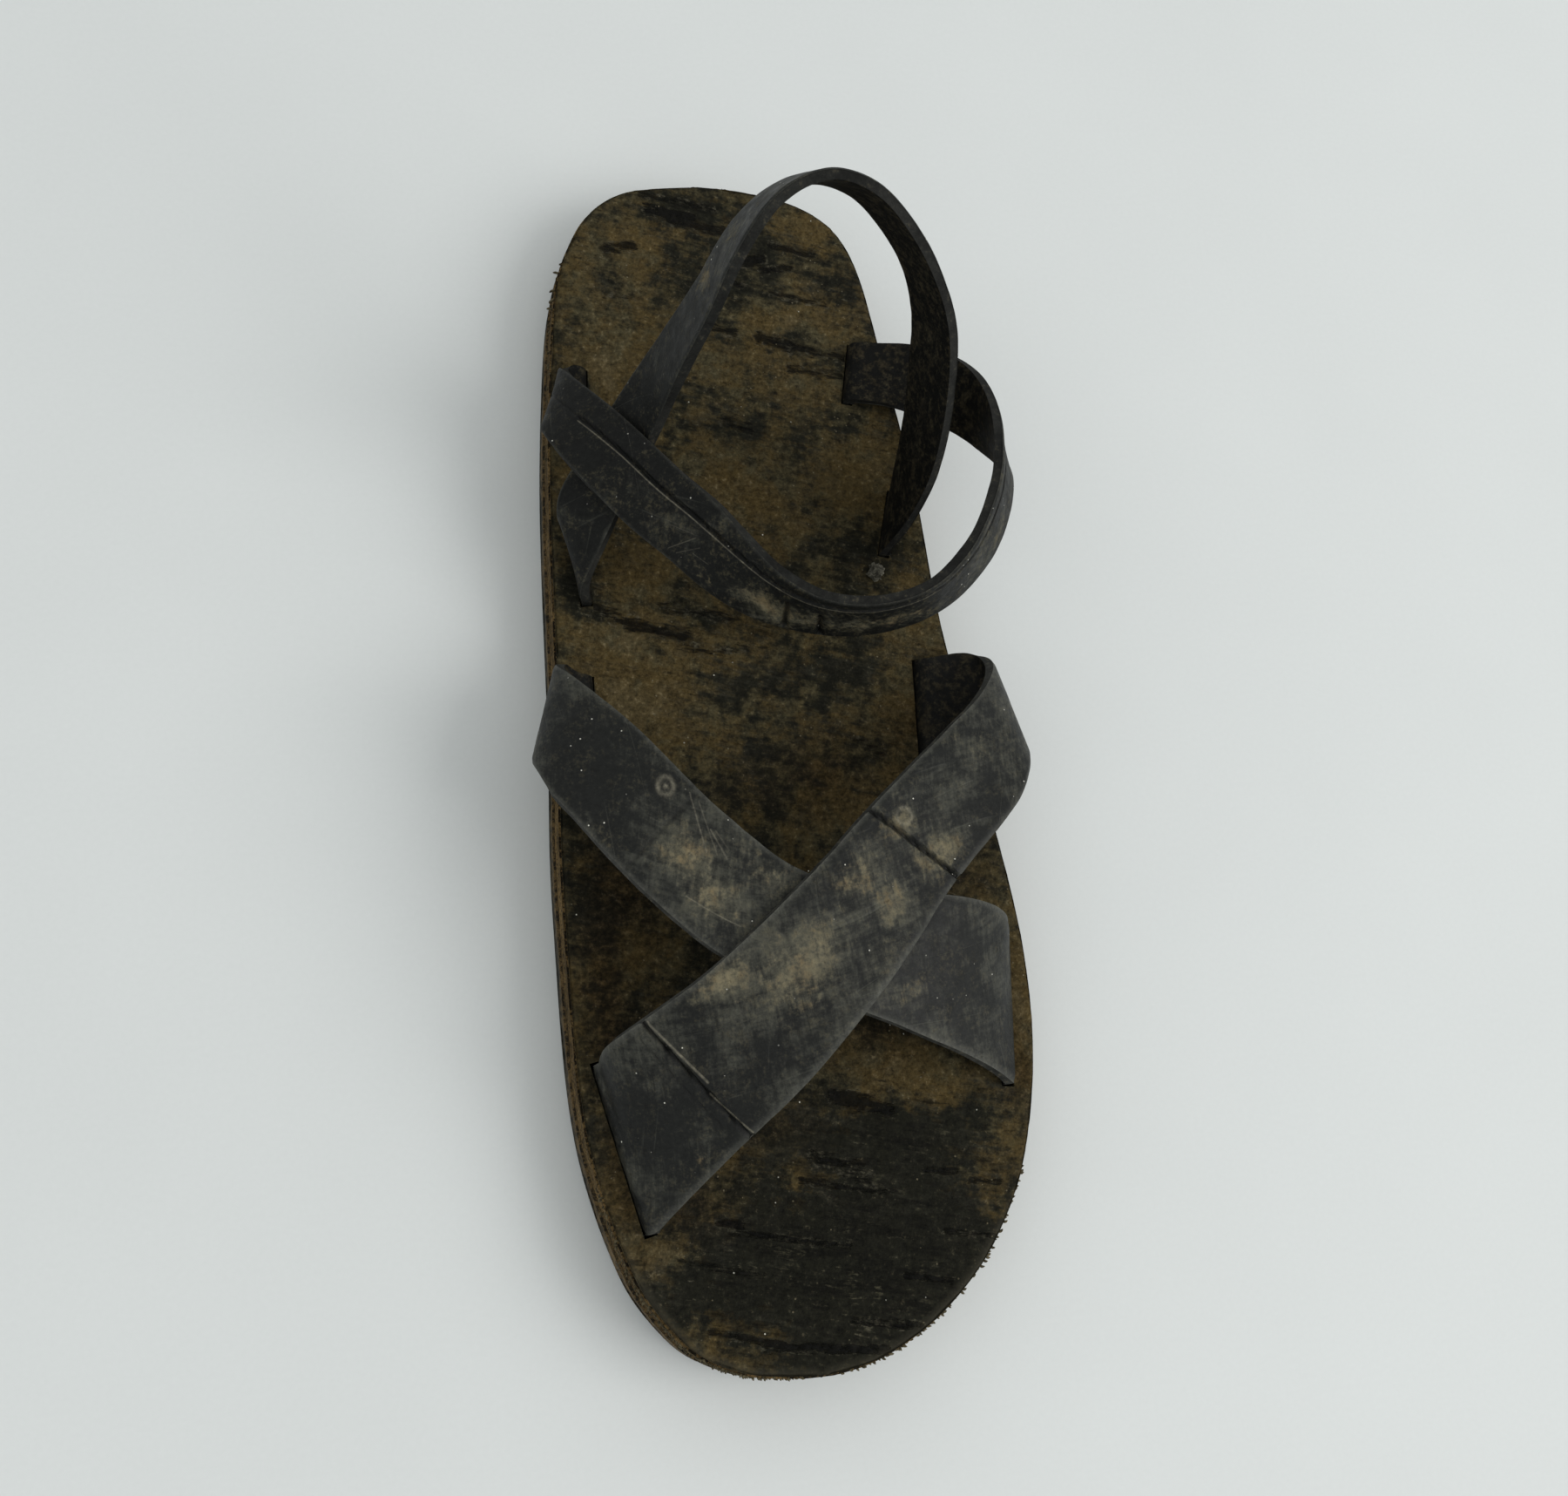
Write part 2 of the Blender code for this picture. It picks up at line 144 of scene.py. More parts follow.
OVER_BAND = Band(
    name="over_band",
    start=Slot(0.013, 0.323, -92, 1.00, 0),
    rows=(
        Row(0.016, 0.409, 0.08, -85, 0),
        Row(0.015, 0.464, 0.17, -80, 2),
        Row(0.005, 0.486, 0.37, -78, 6),
        Row(-0.015, 0.464, 0.59, -76, 5),
        Row(-0.040, 0.418, 0.73, -70, 0),
        Row(-0.067, 0.342, 0.83, -60, -4, 1.00, 0.2),
        Row(-0.121, 0.184, 0.92, -46, -8, 1.03, 0.7),
        Row(-0.170, 0.062, 0.97, -46, -6, 1.12, 1),
        Row(-0.212, -0.052, 0.95, -47, -5, 1.20, 1),
        Row(-0.252, -0.170, 0.84, -49, -5, 1.28, 0.7),
        Row(-0.283, -0.282, 0.64, -53, -5, 1.37, 0.3),
        Row(-0.310, -0.371, 0.33, -65, -8, 1.51),
    ),
    end=Slot(-0.3255, -0.409, -76, 1.54, 50),
    front=True,
)

UNDER_BAND = Band(
    name="under_band",
    start=Slot(0.003, -0.427, -92, 1.00, 0),
    rows=(
        Row(0.008, -0.482, 0.09, -97, 1),
        Row(0.012, -0.511, 0.20, -103, 4),
        Row(0.005, -0.526, 0.39, -106, 7),
        Row(-0.011, -0.508, 0.59, -112, 5),
        Row(-0.030, -0.478, 0.71, -121, 0),
        Row(-0.053, -0.427, 0.80, -127, -2),
        Row(-0.081, -0.371, 0.87, -132, -2),
        Row(-0.121, -0.282, 0.94, -136, -2),
        Row(-0.165, -0.152, 0.96, -134, -3, 1.02),
        Row(-0.188, -0.010, 0.93, -127, -3, 1.08),
        Row(-0.200, 0.126, 0.85, -118, -2, 1.18),
        Row(-0.212, 0.262, 0.66, -112, -3, 1.34),
        Row(-0.222, 0.357, 0.43, -104, -3, 1.42),
        Row(-0.231, 0.412, 0.23, -98, -4, 1.45),
    ),
    end=Slot(-0.2375, 0.438, -95, 1.46, 65),
    front=True,
)

INSTEP_BAND = Band(
    name="instep_band",
    start=Slot(0.288, -0.400, -93, 1.00, 0),
    rows=(
        Row(0.287, -0.446, 0.08, -97, 0),
        Row(0.282, -0.465, 0.20, -105, 3),
        Row(0.271, -0.472, 0.38, -112, 3),
        Row(0.250, -0.452, 0.56, -118, -2),
        Row(0.222, -0.405, 0.67, -126, -10, 1.00, 0.7),
        Row(0.194, -0.352, 0.75, -134, -18, 1.00, 1),
        Row(0.165, -0.292, 0.84, -137, -29, 1.00, 0.7),
        Row(0.137, -0.218, 0.93, -134, -40),
        Row(0.109, -0.153, 0.96, -130, -52),
        Row(0.084, -0.074, 0.95, -125, -70),
        Row(0.068, 0.026, 0.94, -105, -83),
        Row(0.063, 0.122, 0.96, -40, -81),
        Row(0.067, 0.210, 0.99, -10, -73),
        Row(0.080, 0.300, 1.03, 0, -66),
        Row(0.113, 0.394, 1.06, 5, -60),
        Row(0.153, 0.455, 1.04, 12, -57),
        Row(0.196, 0.494, 0.92, 20, -60),
        Row(0.238, 0.502, 0.67, -40, -76),
        Row(0.273, 0.484, 0.44, -96, -62),
        Row(0.299, 0.438, 0.24, -104, -36),
        Row(0.314, 0.374, 0.12, -104, -9),
        Row(0.319, 0.310, 0.08, -102, 0, 0.96),
    ),
    end=Slot(0.322, 0.238, -101, 0.94, 0),
    front=False,
)

HEEL_BAND = Band(
    name="heel_band",
    start=Slot(0.138, -0.420, -87, 1.00, 60),
    rows=(
        Row(0.143, -0.448, 0.25, -76, -5),
        Row(0.165, -0.431, 0.46, -57, 8, 0.97),
        Row(0.193, -0.387, 0.61, -56, 12, 0.90),
        Row(0.221, -0.342, 0.70, -60, 16, 0.87),
        Row(0.244, -0.300, 0.90, -73, 14, 0.90),
        Row(0.255, -0.262, 0.90, -86, 28, 0.98, 0, 0.32),
        Row(0.268, -0.222, 0.90, -92, 34, 1.00, 0, 0.59),
        Row(0.287, -0.184, 0.90, -95, 43, 1.00, 0, 0.80),
        Row(0.307, -0.122, 0.90, -97, 55, 1.00, 0, 0.93),
        Row(0.317, -0.040, 0.90, -92, 60, 1.00, 0, 0.98),
        Row(0.313, 0.056, 0.90, -87, 59, 1.00, 0, 0.94),
        Row(0.300, 0.137, 0.90, -83, 56, 1.00, 0, 0.83),
        Row(0.284, 0.203, 0.90, -79, 50, 1.00, 0, 0.70),
        Row(0.263, 0.253, 0.90, -73, 43, 1.00, 0, 0.54),
        Row(0.235, 0.280, 0.86, -72, 32, 1.00, 0, 0.34),
        Row(0.207, 0.293, 0.80, -77, 19, 1.00, 0, 0.13),
        Row(0.191, 0.295, 0.58, -88, 5),
    ),
    end=Slot(0.1805, 0.292, -104, 1.00, 80),
    front=False,
)

BANDS = (OVER_BAND, UNDER_BAND, INSTEP_BAND, HEEL_BAND)

# Marks on the sole's top, in millimetres: a scar from one end to the other, and the middle, half sizes and
# strength of a patch of dust, of painted shade in a rusty brown, of bare black rubber or of a hollow
Scar = namedtuple("Scar", "x0 y0 x1 y1 width depth")
SCARS = (
    Scar(-33, 120, -27, 121, 2.0, 0.7),
    Scar(-34, 108, -27, 107, 1.1, 0.4),
    Scar(-3, 113, 0, 111, 1.1, 0.7),
    Scar(-8, 100, -3, 99, 1.7, 0.8),
    Scar(3, 98, 10, 95.5, 2.2, 1.0),
    Scar(10, 95.5, 24, 93, 1.4, 0.8),
    Scar(-22, 131, -12, 129, 2.2, 0.9),
    Scar(-17, 128, -4, 126, 1.7, 0.8),
    Scar(-24, 135, -6, 132, 1.3, 0.5),
    Scar(-1, 118, 5, 119, 2.2, 1.0),
    Scar(5, 116, 12, 117, 1.5, 0.7),
    Scar(8, 123, 18, 121, 1.7, 0.7),
    Scar(7, 110, 20, 107, 1.3, 0.6),
    Scar(10, 90, 24, 88, 1.8, 0.7),
    Scar(-8, 76, -2, 74, 2.0, 0.5),
    Scar(-43, 30, -33, 25, 2.0, 0.9),
    Scar(-33, 25, -21, 22, 2.2, 0.9),
    Scar(-26, 29, -9, 26, 1.7, 0.6),
    Scar(-22, 20, -7, 18, 1.5, 0.4),
    Scar(14, -2, 20, -4, 0.9, 0.8),
    Scar(20, -4, 23, -7, 1.3, 0.5),
    Scar(4, -82, 11, -84, 2.4, 1.0),
    Scar(10, -84, 16, -86, 2.0, 0.9),
    Scar(-2, -94, 9, -99, 2.6, 0.5),
    Scar(22, -99, 29, -100, 0.9, 0.8),
    Scar(32, -102, 39, -103, 0.9, 0.8),
    Scar(25, -112, 36, -114, 0.9, 0.7),
    Scar(15, -120, 25, -122, 1.1, 0.7),
    Scar(-5, -99, 13, -103, 1.1, 0.5),
    Scar(-27, -127, -12, -131, 1.1, 0.7),
    Scar(-16, -131, 9, -134, 1.5, 0.7),
    Scar(-32, -113, -15, -117, 1.1, 0.4),
    Scar(-21, -108, 4, -113, 1.1, 0.4),
    Scar(3, -128, 17, -130, 1.3, 0.6),
    Scar(-43, -36, -29, -39, 0.9, 0.4),
    Scar(-23, -106, -19, -107, 1.5, 0.8),
)

Patch = namedtuple("Patch", "x y half_x half_y strength")
SOLE_DUST = (
    Patch(-35, 89, 9, 14, 0.90),
    Patch(-28, 114, 11, 13, 0.50),
    Patch(9, 103, 11, 4, 0.80),
    Patch(20, 100, 10, 4, 0.60),
    Patch(3, 85, 20, 9, 0.45),
    Patch(-13, 56, 24, 13, 0.75),
    Patch(25, 62, 11, 13, 0.60),
    Patch(-33, 35, 13, 9, 0.60),
    Patch(-34, 7, 18, 12, 0.95),
    Patch(-34, 21, 10, 7, 1.00),
    Patch(14, -18, 14, 10, 0.35),
    Patch(30, 24, 13, 7, 0.60),
    Patch(28, 2, 13, 9, 0.60),
    Patch(-34, -49, 13, 13, 0.35),
    Patch(1, -33, 13, 11, 0.40),
    Patch(45, -42, 9, 9, 0.70),
    Patch(48, -66, 5, 24, 0.90),
    Patch(-42, -96, 6, 15, 0.25),
    Patch(-36, -111, 12, 7, 0.80),
    Patch(-17, -98, 17, 9, 0.40),
    Patch(20, -77, 20, 8, 0.70),
    Patch(39, -94, 9, 9, 0.35),
)
# Painted shade under and beside the bands
SOLE_PAINTED_SHADE = (
    Patch(8, -11, 15, 11, 0.75),
    Patch(-36, -30, 13, 26, 0.90),
    Patch(-44, -60, 8, 30, 0.90),
    Patch(-41, -92, 8, 22, 1.00),
    Patch(-30, -100, 12, 10, 0.60),
    Patch(-14, -86, 16, 9, 0.45),
    Patch(14, -70, 22, 7, 0.70),
    Patch(40, -62, 12, 16, 0.70),
    Patch(47, -80, 6, 14, 0.80),
    Patch(30, -4, 13, 14, 0.60),
    Patch(-8, -14, 16, 10, 0.40),
    Patch(40, -34, 8, 12, 0.60),
    Patch(-42, 78, 8, 12, 0.60),
)
SOLE_SOOT = (
    Patch(5, -116, 46, 26, 1.25),
    Patch(-23, -121, 20, 13, 0.90),
    Patch(16, -92, 26, 12, 0.95),
    Patch(28, -107, 17, 13, 0.60),
    Patch(10, 16, 15, 7, 0.45),
    Patch(-45, 35, 4, 11, 0.80),
    Patch(-12, 131, 16, 6, 0.80),
    Patch(-10, 121, 22, 11, 0.35),
    Patch(25, 115, 8, 13, 0.50),
    Patch(-1, 73, 9, 5, 0.50),
    Patch(-6, -37, 13, 13, 0.30),
    Patch(28, 43, 11, 7, 0.60),
    Patch(-3, 25, 20, 5, 0.60),
    Patch(-44, -41, 8, 17, 0.70),
)

SOLE_HOLLOWS = (
    Patch(-4, 92, 30, 34, 1.0),
    Patch(-2, -36, 42, 34, 1.0),
)

# Marks on a band's outer face. "u" runs along the band in millimetres and "v" across it in shares of its
# width. A cut is a groove from one end to the other, and a scratch a pale line.
Cut = namedtuple("Cut", "u0 v0 u1 v1 width depth")
Smear = namedtuple("Smear", "u v half_u half_v strength")
BAND_CUTS = {
    "over_band": (
        Cut(90.0, 0.00, 86.0, 1.00, 1.5, 0.9),
        Cut(156.5, 0.00, 154.0, 1.00, 1.2, 0.8),
        Cut(159.5, 0.10, 157.0, 0.80, 0.9, 0.3),
    ),
    "under_band": (
        Cut(71.0, 0.95, 71.5, 0.08, 1.4, 0.3),
    ),
    "instep_band": (
        Cut(26.0, 0.46, 42.0, 0.41, 0.9, 0.3),
        Cut(42.0, 0.41, 55.0, 0.36, 1.0, 0.5),
        Cut(55.0, 0.36, 80.0, 0.31, 1.0, 0.6),
        Cut(80.0, 0.31, 100.0, 0.20, 1.0, 0.6),
        Cut(100.0, 0.20, 140.0, 0.15, 1.0, 0.6),
        Cut(140.0, 0.15, 165.0, 0.22, 1.0, 0.6),
        Cut(165.0, 0.22, 225.0, 0.33, 1.0, 0.5),
        Cut(71.5, 0.94, 72.0, 0.10, 0.8, 0.2),
        Cut(104.5, 0.44, 106.0, 0.88, 1.8, 1.0),
        Cut(112.0, 0.46, 113.5, 0.92, 1.6, 1.0),
    ),
    "heel_band": (),
}
BAND_SCRATCHES = {
    "over_band": (
        Cut(155.3, 0.04, 153.6, 0.55, 0.45, 0.9),
        Cut(154.9, 0.62, 153.3, 0.97, 0.35, 0.8),
    ),
    "under_band": (
        Cut(70.5, 0.10, 81.0, 0.38, 0.30, 0.5),
        Cut(73.0, 0.10, 83.0, 0.34, 0.25, 0.35),
        Cut(78.5, 0.21, 85.0, 0.31, 0.30, 0.5),
        Cut(79.5, 0.19, 84.0, 0.24, 0.25, 0.3),
        Cut(84.0, 0.78, 96.0, 0.70, 0.25, 0.5),
    ),
    "instep_band": (
        Cut(74.0, 0.62, 80.0, 0.50, 0.18, 0.25),
        Cut(77.0, 0.86, 80.5, 0.52, 0.20, 0.35),
        Cut(79.0, 0.84, 82.5, 0.58, 0.18, 0.25),
        Cut(82.0, 0.70, 86.0, 0.66, 0.18, 0.25),
        Cut(42.0, 0.47, 56.0, 0.41, 0.25, 0.7),
        Cut(56.0, 0.41, 80.0, 0.36, 0.25, 0.8),
        Cut(80.0, 0.36, 100.0, 0.25, 0.25, 0.7),
        Cut(100.0, 0.25, 140.0, 0.20, 0.25, 0.6),
    ),
    "heel_band": (),
}
BAND_SMEARS = {
    "over_band": (
        Smear(124.0, 0.42, 14.0, 0.32, 1.00),
        Smear(137.5, 0.12, 9.0, 0.22, 1.00),
        Smear(86.5, 0.30, 7.0, 0.30, 0.75),
        Smear(84.5, 0.72, 9.0, 0.26, 0.95),
        Smear(90.0, 0.62, 6.0, 0.24, 0.65),
        Smear(103.0, 0.30, 10.0, 0.25, 0.85),
        Smear(102.0, 0.65, 9.0, 0.25, 0.75),
        Smear(112.0, 0.78, 9.0, 0.20, 0.50),
        Smear(163.0, 0.88, 8.0, 0.10, 0.35),
        Smear(60.0, 0.30, 14.0, 0.30, 0.20),
    ),
    "under_band": (
        Smear(79.5, 0.52, 10.0, 0.26, 0.95),
        Smear(87.5, 0.62, 11.0, 0.30, 0.80),
        Smear(94.0, 0.20, 13.0, 0.24, 0.60),
        Smear(61.0, 0.92, 12.0, 0.14, 0.35),
        Smear(135.0, 0.77, 11.0, 0.24, 0.55),
    ),
    "instep_band": (
        Smear(103.0, 0.66, 16.0, 0.34, 0.85),
        Smear(126.0, 0.60, 26.0, 0.30, 0.65),
        Smear(86.0, 0.80, 8.0, 0.20, 0.45),
        Smear(170.0, 0.70, 30.0, 0.40, 0.45),
    ),
    "heel_band": (
        Smear(99.0, 0.35, 7.0, 0.35, 0.80),
        Smear(112.0, 0.45, 12.0, 0.30, 0.35),
        Smear(178.0, 0.50, 26.0, 0.40, 0.35),
    ),
}

# Painted shade on the bands: stretches drawn darker because they lie in shade, with the middle as above, half
# sizes and strength
BAND_PAINTED_SHADE = {
    "over_band": (
        Smear(170.0, 0.50, 15.0, 0.60, 0.75),
        Smear(148.0, 0.75, 12.0, 0.30, 0.45),
        Smear(72.0, 0.85, 16.0, 0.25, 0.55),
        Smear(104.0, 0.10, 14.0, 0.16, 0.45),
    ),
    "under_band": (
        Smear(50.0, 0.50, 15.0, 0.70, 0.85),
        Smear(66.0, 0.75, 9.0, 0.30, 0.50),
        Smear(146.0, 0.40, 12.0, 0.50, 0.55),
        Smear(128.0, 0.12, 14.0, 0.18, 0.60),
    ),
    "instep_band": (
        Smear(36.0, 0.50, 26.0, 0.80, 0.95),
        Smear(64.0, 0.20, 16.0, 0.30, 0.60),
        Smear(108.0, 0.15, 22.0, 0.25, 0.70),
    ),
    "heel_band": (
        Smear(30.0, 0.50, 18.0, 0.80, 0.50),
        Smear(74.0, 0.50, 34.0, 0.90, 0.90),
        Smear(150.0, 0.50, 30.0, 0.80, 0.60),
        Smear(196.0, 0.50, 26.0, 0.80, 0.85),
    ),
}

# Rings that drops of mud left on a band: the middle as above, radius and line width in millimetres
Ring = namedtuple("Ring", "u v radius width")
BAND_RINGS = {
    "over_band": (Ring(85.5, 0.27, 1.7, 0.30),),
    "under_band": (Ring(66.0, 0.21, 1.7, 0.45), Ring(66.0, 0.21, 0.25, 0.30)),
    "instep_band": (),
    "heel_band": (),
}

# Frayed cord ends at the rim: a stretch of the rim by its distance from the toe's tip, in millimetres,
# on the inner (-1) or outer (+1) side, with how many ends it has and how far they stand out.
Fray = namedtuple("Fray", "side start end count reach")
FRAYS = (
    Fray(-1, 2, 34, 110, 0.62),
    Fray(-1, 34, 64, 44, 0.66),
    Fray(1, 2, 40, 120, 0.66),
    Fray(1, 40, 66, 44, 0.80),
    Fray(-1, 228, 262, 14, 0.65),
    Fray(-1, 262, 282, 8, 1.05),
)

# What differs between the front and the rear bands' finish: bloom, darkness, brown specks, pale sides,
# roughness and gloss, how far in the sides are rounded, in millimetres, and how light the cut edge is
Look = namedtuple("Look", "bloom dark specks side side_fleck rough gloss pare edge")
FRONT_LOOK = Look(0.30, 1.00, 0.30, 0.30, 0.6, 0.50, 0.15, 1.6, 0.80)
REAR_LOOK = Look(0.10, 0.70, 0.42, 0.15, 0.4, 0.54, 0.11, 0.9, 0.28)

# A frayed cord end: how far it slides and rises in each section, in millimetres, and how it widens
FRAY_SECTIONS = ((0.0, 0.5, 1.15), (0.06, 0.4, 1.1), (0.14, 0.35, 0.9), (0.16, 0.2, 0.55))


def length_of(name, description, default, low, high):
    return FloatProperty(
        name=name, description=description, default=default, min=low, max=high, unit="LENGTH"
    )


def color_of(name, description, default):
    return FloatVectorProperty(
        name=name, description=description, subtype="COLOR", default=default, min=0.0, max=1.0
    )


class SandalSoleSettings(bpy.types.PropertyGroup):
    """Sizes and colours of the sole"""

    length: length_of("Length", "Length of the sole's top", 0.275, 0.2, 0.32)
    width: length_of("Width", "Width of the sole's top at the ball", 0.1028, 0.07, 0.13)
    liner: length_of("Liner", "Thickness of the tire's inner liner", 0.0016, 0.001, 0.004)
    plies: length_of("Plies", "Thickness of the cord plies", 0.008, 0.003, 0.012)
    tread: length_of("Tread", "Thickness of the tread", 0.0074, 0.004, 0.014)
    toe_spring: length_of("Toe Spring", "How far the toe's underside rises", 0.0045, 0.0, 0.02)
    heel_lift: length_of("Heel Lift", "How far the heel's underside rises", 0.0008, 0.0, 0.005)
    rubber: color_of("Rubber", "Bare rubber", (0.0095, 0.0092, 0.0058))
    earth: color_of("Earth", "Brown earth worn into the liner", (0.056, 0.047, 0.025))
    dust: color_of("Dust", "Pale dust on top", (0.150, 0.122, 0.074))
    cord: color_of("Cord", "Cut ends of the cords", (0.150, 0.098, 0.040))


class SandalBandSettings(bpy.types.PropertyGroup):
    """Sizes and colours of the bands"""

    thickness: length_of("Thickness", "Thickness of every band", 0.0026, 0.0015, 0.005)
    front_width: length_of("Front Width", "Width of the crossed front bands", 0.024, 0.01, 0.04)
    rear_width: length_of("Rear Width", "Width of the instep and heel bands", 0.017, 0.01, 0.03)
    front_rise: length_of("Front Rise", "Height of the front bands over the sole", 0.027, 0.01, 0.05)
    ankle_rise: length_of("Ankle Rise", "Height of the instep band over the sole", 0.0265, 0.01, 0.05)
    hoop_rise: length_of("Hoop Rise", "Height of the heel hoop over the instep band", 0.060, 0.02, 0.09)
    rubber: color_of("Rubber", "Band rubber", (0.0105, 0.0110, 0.0100))
    bloom: color_of("Bloom", "Grey bloom on old rubber", (0.052, 0.052, 0.042))
    dust: color_of("Dust", "Khaki dust rubbed into the bands", (0.215, 0.182, 0.112))
    edge: color_of("Cut Edge", "Grey cut edges", (0.078, 0.078, 0.069))


class SandalStageSettings(bpy.types.PropertyGroup):
    """Floor, light and camera"""

    floor: color_of("Floor", "Colour of the floor", (0.72, 0.74, 0.735))
    key: FloatProperty(
        name="Key Light", description="Power of the soft light at the right", default=17.0, min=0.0,
        max=100.0, subtype="POWER", unit="POWER",
    )
    sky: FloatProperty(
        name="Fill", description="Strength of the even light all round", default=0.72, min=0.0, max=4.0,
        subtype="FACTOR",
    )
    lens: FloatProperty(
        name="Lens", description="Focal length of the camera", default=39.0, min=15.0, max=200.0,
        unit="CAMERA",
    )


def smooth(points, at):
    """Catmull-Rom value at a place along a list of points, counted in points."""
    index = min(int(at), len(points) - 2)
    share = at - index
    p1 = points[index]
    p2 = points[index + 1]
    p0 = points[index - 1] if index > 0 else p1 * 2.0 - p2
    p3 = points[index + 2] if index + 2 < len(points) else p2 * 2.0 - p1
    bend = (p1 * 3.0 - p0 - p2 * 3.0 + p3) * share ** 3
    turn = (p0 * 2.0 - p1 * 5.0 + p2 * 4.0 - p3) * share ** 2
    return (bend + turn + (p2 - p0) * share + p1 * 2.0) * 0.5


def underside(y, sole):
    """Height of the sole's underside over the ground."""
    along = y / sole.length + 0.5
    if along < SPRING_START:
        return sole.toe_spring * ((SPRING_START - along) / SPRING_START) ** 2
    if along > LIFT_START:
        return sole.heel_lift * ((along - LIFT_START) / (1.0 - LIFT_START)) ** 2
    return 0.0


def sole_height(sole):
    return sole.liner + sole.plies + sole.tread


def outline_sides(sole, out=0.0):
    """The inner and outer side of the outline, toe to heel, moved outwards by a distance."""
    rows = [Vector(row) for row in OUTLINE]
    count = (len(rows) - 1) * SECTIONS_PER_ROW
    inner = []
    outer = []
    for index in range(count + 1):
        along, inner_share, outer_share = smooth(rows, index / SECTIONS_PER_ROW)
        y = (along - 0.5) * sole.length
        inner.append(Vector((-inner_share * sole.width, y)))
        outer.append(Vector((outer_share * sole.width, y)))
    ring = outer + inner[::-1]
    moved = []
    for index, place in enumerate(ring):
        run = (ring[(index + 1) % len(ring)] - ring[index - 1]).normalized()
        moved.append(place + Vector((run.y, -run.x)) * out)
    return moved[count + 1:][::-1], moved[:count + 1]


def band_width(band, bands):
    return bands.front_width if band.front else bands.rear_width


def mouth(slot, sole):
    middle = Vector((slot.across * sole.width, slot.along * sole.length))
    line = Vector((cos(radians(slot.turn)), sin(radians(slot.turn))))
    return middle, line


def band_end(slot, width, toward, sole, bands):
    """Cross lines of a band's end: up its slot, then round the bend towards the first free line."""
    middle, line = mouth(slot, sole)
    side = Vector((line.y, -line.x))
    if side.dot(toward - middle) < 0.0:
        side = -side
    flat = slot.pitch == 0
    radius = FLAT_BEND if flat else STEEP_BEND
    bend_start = (BAND_REST + bands.thickness / 2.0 - radius) if flat else BAND_REST
    half = line * slot.width * width / 2.0
    places = [(0.0, None)]
    for step in range(BEND_STEPS + 1):
        angle = radians(90.0 - slot.pitch) * step / BEND_STEPS
        places.append((radius * (1.0 - cos(angle)), bend_start + radius * sin(angle)))
    lines = []
    for out, rise in places:
        ends = []
        for corner in (middle - half, middle + half):
            x, y = corner + side * out
            foot = underside(corner.y, sole)
            height = BAND_END_LIFT + foot if rise is None else sole_height(sole) + foot + rise
            ends.append(Vector((x, y, height)))
        lines.append(ends)
    return lines


def free_line(row, width, band_rise, sole, bands):
    """Cross line of a band where it is clear of the sole."""
    lap = bands.thickness - BAND_BITE
    rise = row.rise * band_rise + row.hoop * bands.hoop_rise + row.lap * lap
    middle = Vector((row.across * sole.width, row.along * sole.length, sole_height(sole) + rise))
    turn = radians(row.turn)
    lean = radians(row.lean)
    line = Vector((cos(turn) * cos(lean), sin(turn) * cos(lean), sin(lean)))
    half = line * row.width * width / 2.0
    return [middle - half, middle + half]


def band_lines(band, sole, bands):
    """All cross lines of a band, smoothed between its two ends."""
    width = band_width(band, bands)
    rise = bands.front_rise if band.front else bands.ankle_rise
    free = [free_line(row, width, rise, sole, bands) for row in band.rows]
    first = (free[0][0] + free[0][1]).xy / 2.0
    last = (free[-1][0] + free[-1][1]).xy / 2.0
    start = band_end(band.start, width, first, sole, bands)
    end = band_end(band.end, width, last, sole, bands)[::-1]
    knots = start[-2:] + free + end[:2]
    sides = [[knot[side] for knot in knots] for side in (0, 1)]
    lines = list(start[:-1])
    for index in range(1, len(knots) - 2):
        here = (knots[index][0] + knots[index][1]) / 2.0
        there = (knots[index + 1][0] + knots[index + 1][1]) / 2.0
        steps = max(1, round((there - here).length / BAND_STEP))
        for step in range(steps):
            at = index + step / steps
            lines.append([smooth(side, at) for side in sides])
    return lines + end


class Value:
    """A socket of a material's nodes. Arithmetic on it adds Math nodes."""

    def __init__(self, finish, socket):
        self.finish = finish
        self.socket = socket

    def math(self, operation, *values):
        return self.finish.node("ShaderNodeMath", {"operation": operation}, enumerate(values))

    def __add__(self, other):
        return self.math("ADD", self, other)

    def __radd__(self, other):
        return self.math("ADD", other, self)

    def __sub__(self, other):
        return self.math("SUBTRACT", self, other)

    def __rsub__(self, other):
        return self.math("SUBTRACT", other, self)

    def __mul__(self, other):
        return self.math("MULTIPLY", self, other)

    def __rmul__(self, other):
        return self.math("MULTIPLY", other, self)

    def __truediv__(self, other):
        return self.math("DIVIDE", self, other)

    def __rtruediv__(self, other):
        return self.math("DIVIDE", other, self)

    def __pow__(self, other):
        return self.math("POWER", self, other)

    def __abs__(self):
        return self.math("ABSOLUTE", self)

    def whole(self):
        return self.math("FLOOR", self)

    def part(self):
        return self.math("FRACT", self)

    def most(self, other):
        return self.math("MAXIMUM", self, other)

    def least(self, other):
        return self.math("MINIMUM", self, other)

    def rise(self, low, high):
        """0 below low, 1 above high, and a soft step between."""
        return self.finish.node(
            "ShaderNodeMapRange",
            {"interpolation_type": "SMOOTHSTEP"},
            {"Value": self, "From Min": low, "From Max": high},
        )


